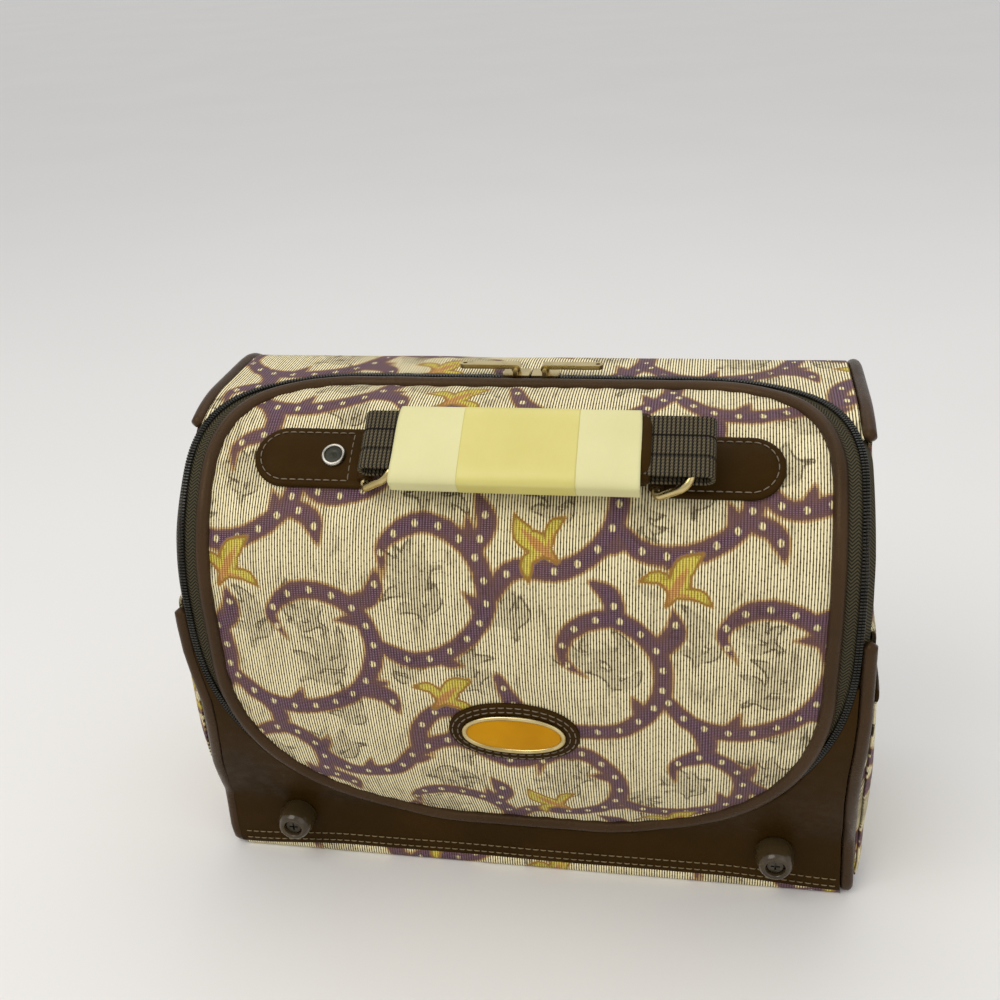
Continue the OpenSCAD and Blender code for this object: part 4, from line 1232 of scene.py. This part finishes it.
def oval_ring(inset):
    """The badge's flat outline, a little fuller than an ellipse, at an inset."""
    x, y = section(BADGE_L - 2 * inset, BADGE_H - 2 * inset, 2.15, OVAL_N)
    return np.stack([x, y + BADGE_RUN], axis=1)


def badge():
    middle = np.tile([0.0, BADGE_RUN], (OVAL_N, 1))
    pad("badge_leather", oval_ring(0), middle, BACKING_LAYERS, VINYL, "vinyl", "badge_backing")
    runs = []
    for inset in (1.7, 4.1):
        ring = oval_ring(inset)
        ring = np.concatenate([ring, ring[:1]])
        runs.append((on_skin(ring, 1.6), skin_normal(ring[:, 1])))
    stitches("badge_stitches", runs, "lid", TAB_THREAD)
    net = np.stack([on_skin(oval_ring(BADGE_BORDER + inset), h) for inset, h in BEZEL])
    piece("badge_bezel", net, grid_faces(*net.shape[:2], True, True), "lid", BRASS, "brass", ["badge_rim"],
          closed=True)
    pad("badge_plate", oval_ring(BADGE_BORDER + 2.1), middle, PLATE_LAYERS, ENAMEL, "enamel", "badge_face")


lid_cloth()
lid_piping()
zip_tape("zip_tape_lid_cloth", 2.4, TAPE_OUT + 0.4, ([0, 9], [-0.9, -0.9]), "lid", "zip_tape_lid")
zip_tape("zip_tape_body_cloth", ROW_BODY - 0.4, ZIP_OUT + 3.2,
         ([ROW_BODY - 0.4, ZIP_OUT + 0.2, ZIP_OUT + 3.2], [-1.2, -2.4, -5.2]), "body", "zip_tape_body")
zip_teeth("zip_teeth_lid_row", ROW_LID, "lid", "zip_teeth_lid", 0)
zip_teeth("zip_teeth_body_row", ROW_BODY, "body", "zip_teeth_body", 0.5)
for tab_name, tab_sign in SIDES.items():
    handle_tab(tab_name, tab_sign)
rivets()
badge()


# Handle

LOOP_H, LOOP_IN, LOOP_OUT, WEB_W = 14.35, 2.8, 4.3, 26
GRIP_LEFT, GRIP_RIGHT, GRIP_W, GRIP_T = -35, 58, 31, 11.5
SLEEVE_SAG, PAPER_T, SLEEVE_N = 1.9, 0.3, 144


def loop_line(x0, x1, r):
    """A loop of webbing seen from its edge: two straight runs and two round ends."""
    turn = np.radians(np.linspace(-90, 90, 28))
    x = np.concatenate([np.linspace(x0, x1, 20)[:-1], x1 + r * np.cos(turn), np.linspace(x1, x0, 20)[1:-1],
                        x0 - r * np.cos(turn)])
    h = np.concatenate([np.full(19, -r), r * np.sin(turn), np.full(18, r), -r * np.sin(turn)])
    return x, h


def loop_length(x, y):
    return float(np.hypot(x - np.roll(x, 1), y - np.roll(y, 1)).sum()) * MM


def webbing(name, x0, x1):
    a = np.linspace(-1, 1, 79) * WEB_W / 2
    groove = 0.4 * np.exp(-((np.abs(a) - WEB_SEAM) / 0.6) ** 2)
    x, h = loop_line(x0, x1, LOOP_OUT)
    grow = (LOOP_OUT - groove) / LOOP_OUT
    near = np.clip(x, x0, x1)[:, None]
    outer = in_handle(near + (x[:, None] - near) * grow, a, LOOP_H + h[:, None] * grow)
    xi, hi = loop_line(x0, x1, LOOP_IN)
    inner = in_handle(xi[:, None], a, LOOP_H + hi[:, None])
    net = np.concatenate([outer, inner[:, ::-1]], axis=1)
    along = run_along(np.stack([x, h], axis=1))
    flat = np.stack(np.broadcast_arrays(along[:, None], np.concatenate([a, a[::-1]])), axis=-1)
    made = piece("webbing_loop_" + name, net, grid_faces(*net.shape[:2], True, True), "handle", WEBBING,
                 "webbing", ["webbing_" + name], flat, closed=True)
    loop_length(x, h)


def grip():
    a, h = section(GRIP_W, GRIP_T, 2.9, 72)
    tip = np.array([0, 0.4, 1.2, 2.4])
    middle = np.linspace(GRIP_LEFT + 5, GRIP_RIGHT - 5, 50)
    x = np.concatenate([GRIP_LEFT + tip, middle, GRIP_RIGHT - tip[::-1]])
    end = np.minimum(x - GRIP_LEFT, GRIP_RIGHT - x)
    scale = (1 - 0.16 * (1 - np.clip(end / 2.6, 0, 1)) ** 2)[:, None]
    rings = in_handle(x[:, None], a * scale, LOOP_H + h * scale)
    made = piece("grip_pad", *capped(rings), "handle", VINYL, "vinyl", ["handle_grip"], closed=True)


def sleeve_tube(name, left, right, width, thick, finish, wave, nodes=()):
    """A tube of paper round the grip, folded along its edges, with slightly uneven ends."""
    angle = round_angles(SLEEVE_N)
    a, h = section(width, thick, 4.6, SLEEVE_N)
    start = left + wave * (1.0 + 0.8 * np.cos(angle))
    end = right - wave * (0.7 + 0.7 * np.sin(angle + 2.2))
    x = start + (end - start) * np.linspace(0, 1, 70)[:, None]
    dent = 1 - 0.028 * (0.5 + 0.5 * np.sin(x / 9.0 + 1.7 * np.sin(angle))) * (np.abs(h) > thick * 0.3)
    points = in_handle(x, a - SLEEVE_SAG, LOOP_H + h * dent)
    made = piece(name, points, grid_faces(*x.shape, close_cols=True), "handle", finish, "sleeve", nodes,
                 thick=PAPER_T, inside=in_handle(0, 0, LOOP_H))
    loop_length(a, h)


webbing("left", -55.7, -39.45)
webbing("right", 42, 78.7)
grip()
sleeve_tube("sleeve_paper", -46, 54.5, 35.6, 12.7, PAPER, 1.0, ["grip_sleeve"])
sleeve_tube("sleeve_band", -18, 29.5, 35.85, 12.95, BAND, 0.25)


# Feet and metal

FOOT_X, FOOT_Z, BEVEL_W = 116, 24.5, 0.25
# Radii and distances off the apron, up a foot's outside and down into its screw hole
FOOT_PROFILE = ((1.9, 0.0), (8.6, 0.0), (8.95, 1.2), (9.0, 3.6), (8.8, 6.2), (8.3, 8.6), (7.5, 10.6),
                (6.5, 12.0), (5.7, 12.5), (5.0, 12.45), (4.5, 12.1), (4.25, 11.5), (4.2, 10.6), (4.2, 8.6),
                (1.9, 8.5))
# CAD nodes that are shown as they are, with bevelled edges on all but the rings
CARRIED = ((BRASS, ("ring_left", "ring_right", "slider_left", "slider_right", "pull_left", "pull_right")),
           (DARK_STEEL, ("foot_screws",)), (STEEL, ("foot_nuts",)), (BOARD, ("base_board",)))


def feet():
    rings, faces = lathe(resample(np.array(FOOT_PROFILE), 0.45)[0], 56)
    x, z, y = np.moveaxis(rings, -1, 0)
    for name, sign in SIDES.items():
        points = np.stack([sign * FOOT_X + x, Y_FRONT - y, FOOT_Z + z], axis=-1)
        piece("foot_cup_" + name, points, faces, "body", FOOT, "foot_plastic", ["foot_" + name], closed=True)


def carry(node, finish):
    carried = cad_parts[node]
    carried.data.materials.clear()
    carried.data.materials.append(finish)
    if not node.startswith("ring"):
        edge = carried.modifiers.new("edge", "BEVEL")
        edge.width = BEVEL_W * MM
        edge.segments = 2
        edge.limit_method = "ANGLE"
        edge.harden_normals = True


feet()
for carried_finish, carried_nodes in CARRIED:
    for carried_node in carried_nodes:
        carry(carried_node, carried_finish)


# Stage, light and camera, in metres

FLOOR_HALF = 12.0
AIM = Vector((0, 0, 0.12))
# Name, place, size, power and colour of each lamp
LAMPS = (("key", (-0.55, -0.75, 1.25), 0.9, 7.0, (1.0, 0.95, 0.87)),
         ("fill", (0.95, -0.85, 0.7), 1.1, 2.0, (1.0, 0.98, 0.95)),
         ("top", (0.1, 0.35, 1.4), 0.9, 3.0, (0.96, 0.98, 1.0)))
CAMERA_AT = (0.0805, -0.4912, 0.4262)
# Yaw, pitch and roll in degrees; the lens and its sensor are in millimetres
CAMERA_TURN = (11.22, 26.84, 3.31)
LENS, SENSOR = 42.55, 36


def stage():
    mesh = bpy.data.meshes.new("floor")
    corners = [(x * FLOOR_HALF, y * FLOOR_HALF, 0) for x, y in ((-1, -1), (1, -1), (1, 1), (-1, 1))]
    mesh.from_pydata(corners, [], [(0, 1, 2, 3)])
    floor = placed("floor", mesh)
    made, inputs, w = new_finish("floor_paint")
    paint = object_place(w).noise(3.0, 2.0).mix((0.80, 0.79, 0.77, 1), (0.84, 0.83, 0.81, 1))
    feed(inputs, {"Base Color": paint, "Roughness": 0.9})
    mesh.materials.append(made)
    world = bpy.data.worlds.new("studio")
    bpy.context.scene.world = world
    world.use_nodes = True
    feed(world.node_tree.nodes["Background"].inputs, {"Color": (0.96, 0.96, 0.97, 1), "Strength": 0.72})
    for name, place, size, power, colour in LAMPS:
        lamp = bpy.data.lights.new(name, "AREA")
        lamp.size = size
        lamp.energy = power
        lamp.color = colour
        holder = placed(name, lamp)
        holder.location = place
        holder.rotation_mode = "QUATERNION"
        holder.rotation_quaternion = (AIM - holder.location).to_track_quat("-Z", "Y")


def camera():
    yaw, pitch, roll = (math.radians(a) for a in CAMERA_TURN)
    ahead = np.array([-math.sin(yaw) * math.cos(pitch), math.cos(yaw) * math.cos(pitch), -math.sin(pitch)])
    right = np.array([math.cos(yaw), math.sin(yaw), 0])
    down = np.cross(ahead, right)
    level = math.cos(roll) * right + math.sin(roll) * down
    drop = math.cos(roll) * down - math.sin(roll) * right
    lens = bpy.data.cameras.new("camera")
    lens.sensor_width = SENSOR
    lens.lens = LENS
    lens.clip_start = 0.01
    holder = placed("camera", lens)
    turn = Matrix(np.stack([level, -drop, -ahead], axis=1).tolist()).to_4x4()
    holder.matrix_world = Matrix.Translation(CAMERA_AT) @ turn
    bpy.context.scene.camera = holder


stage()
camera()
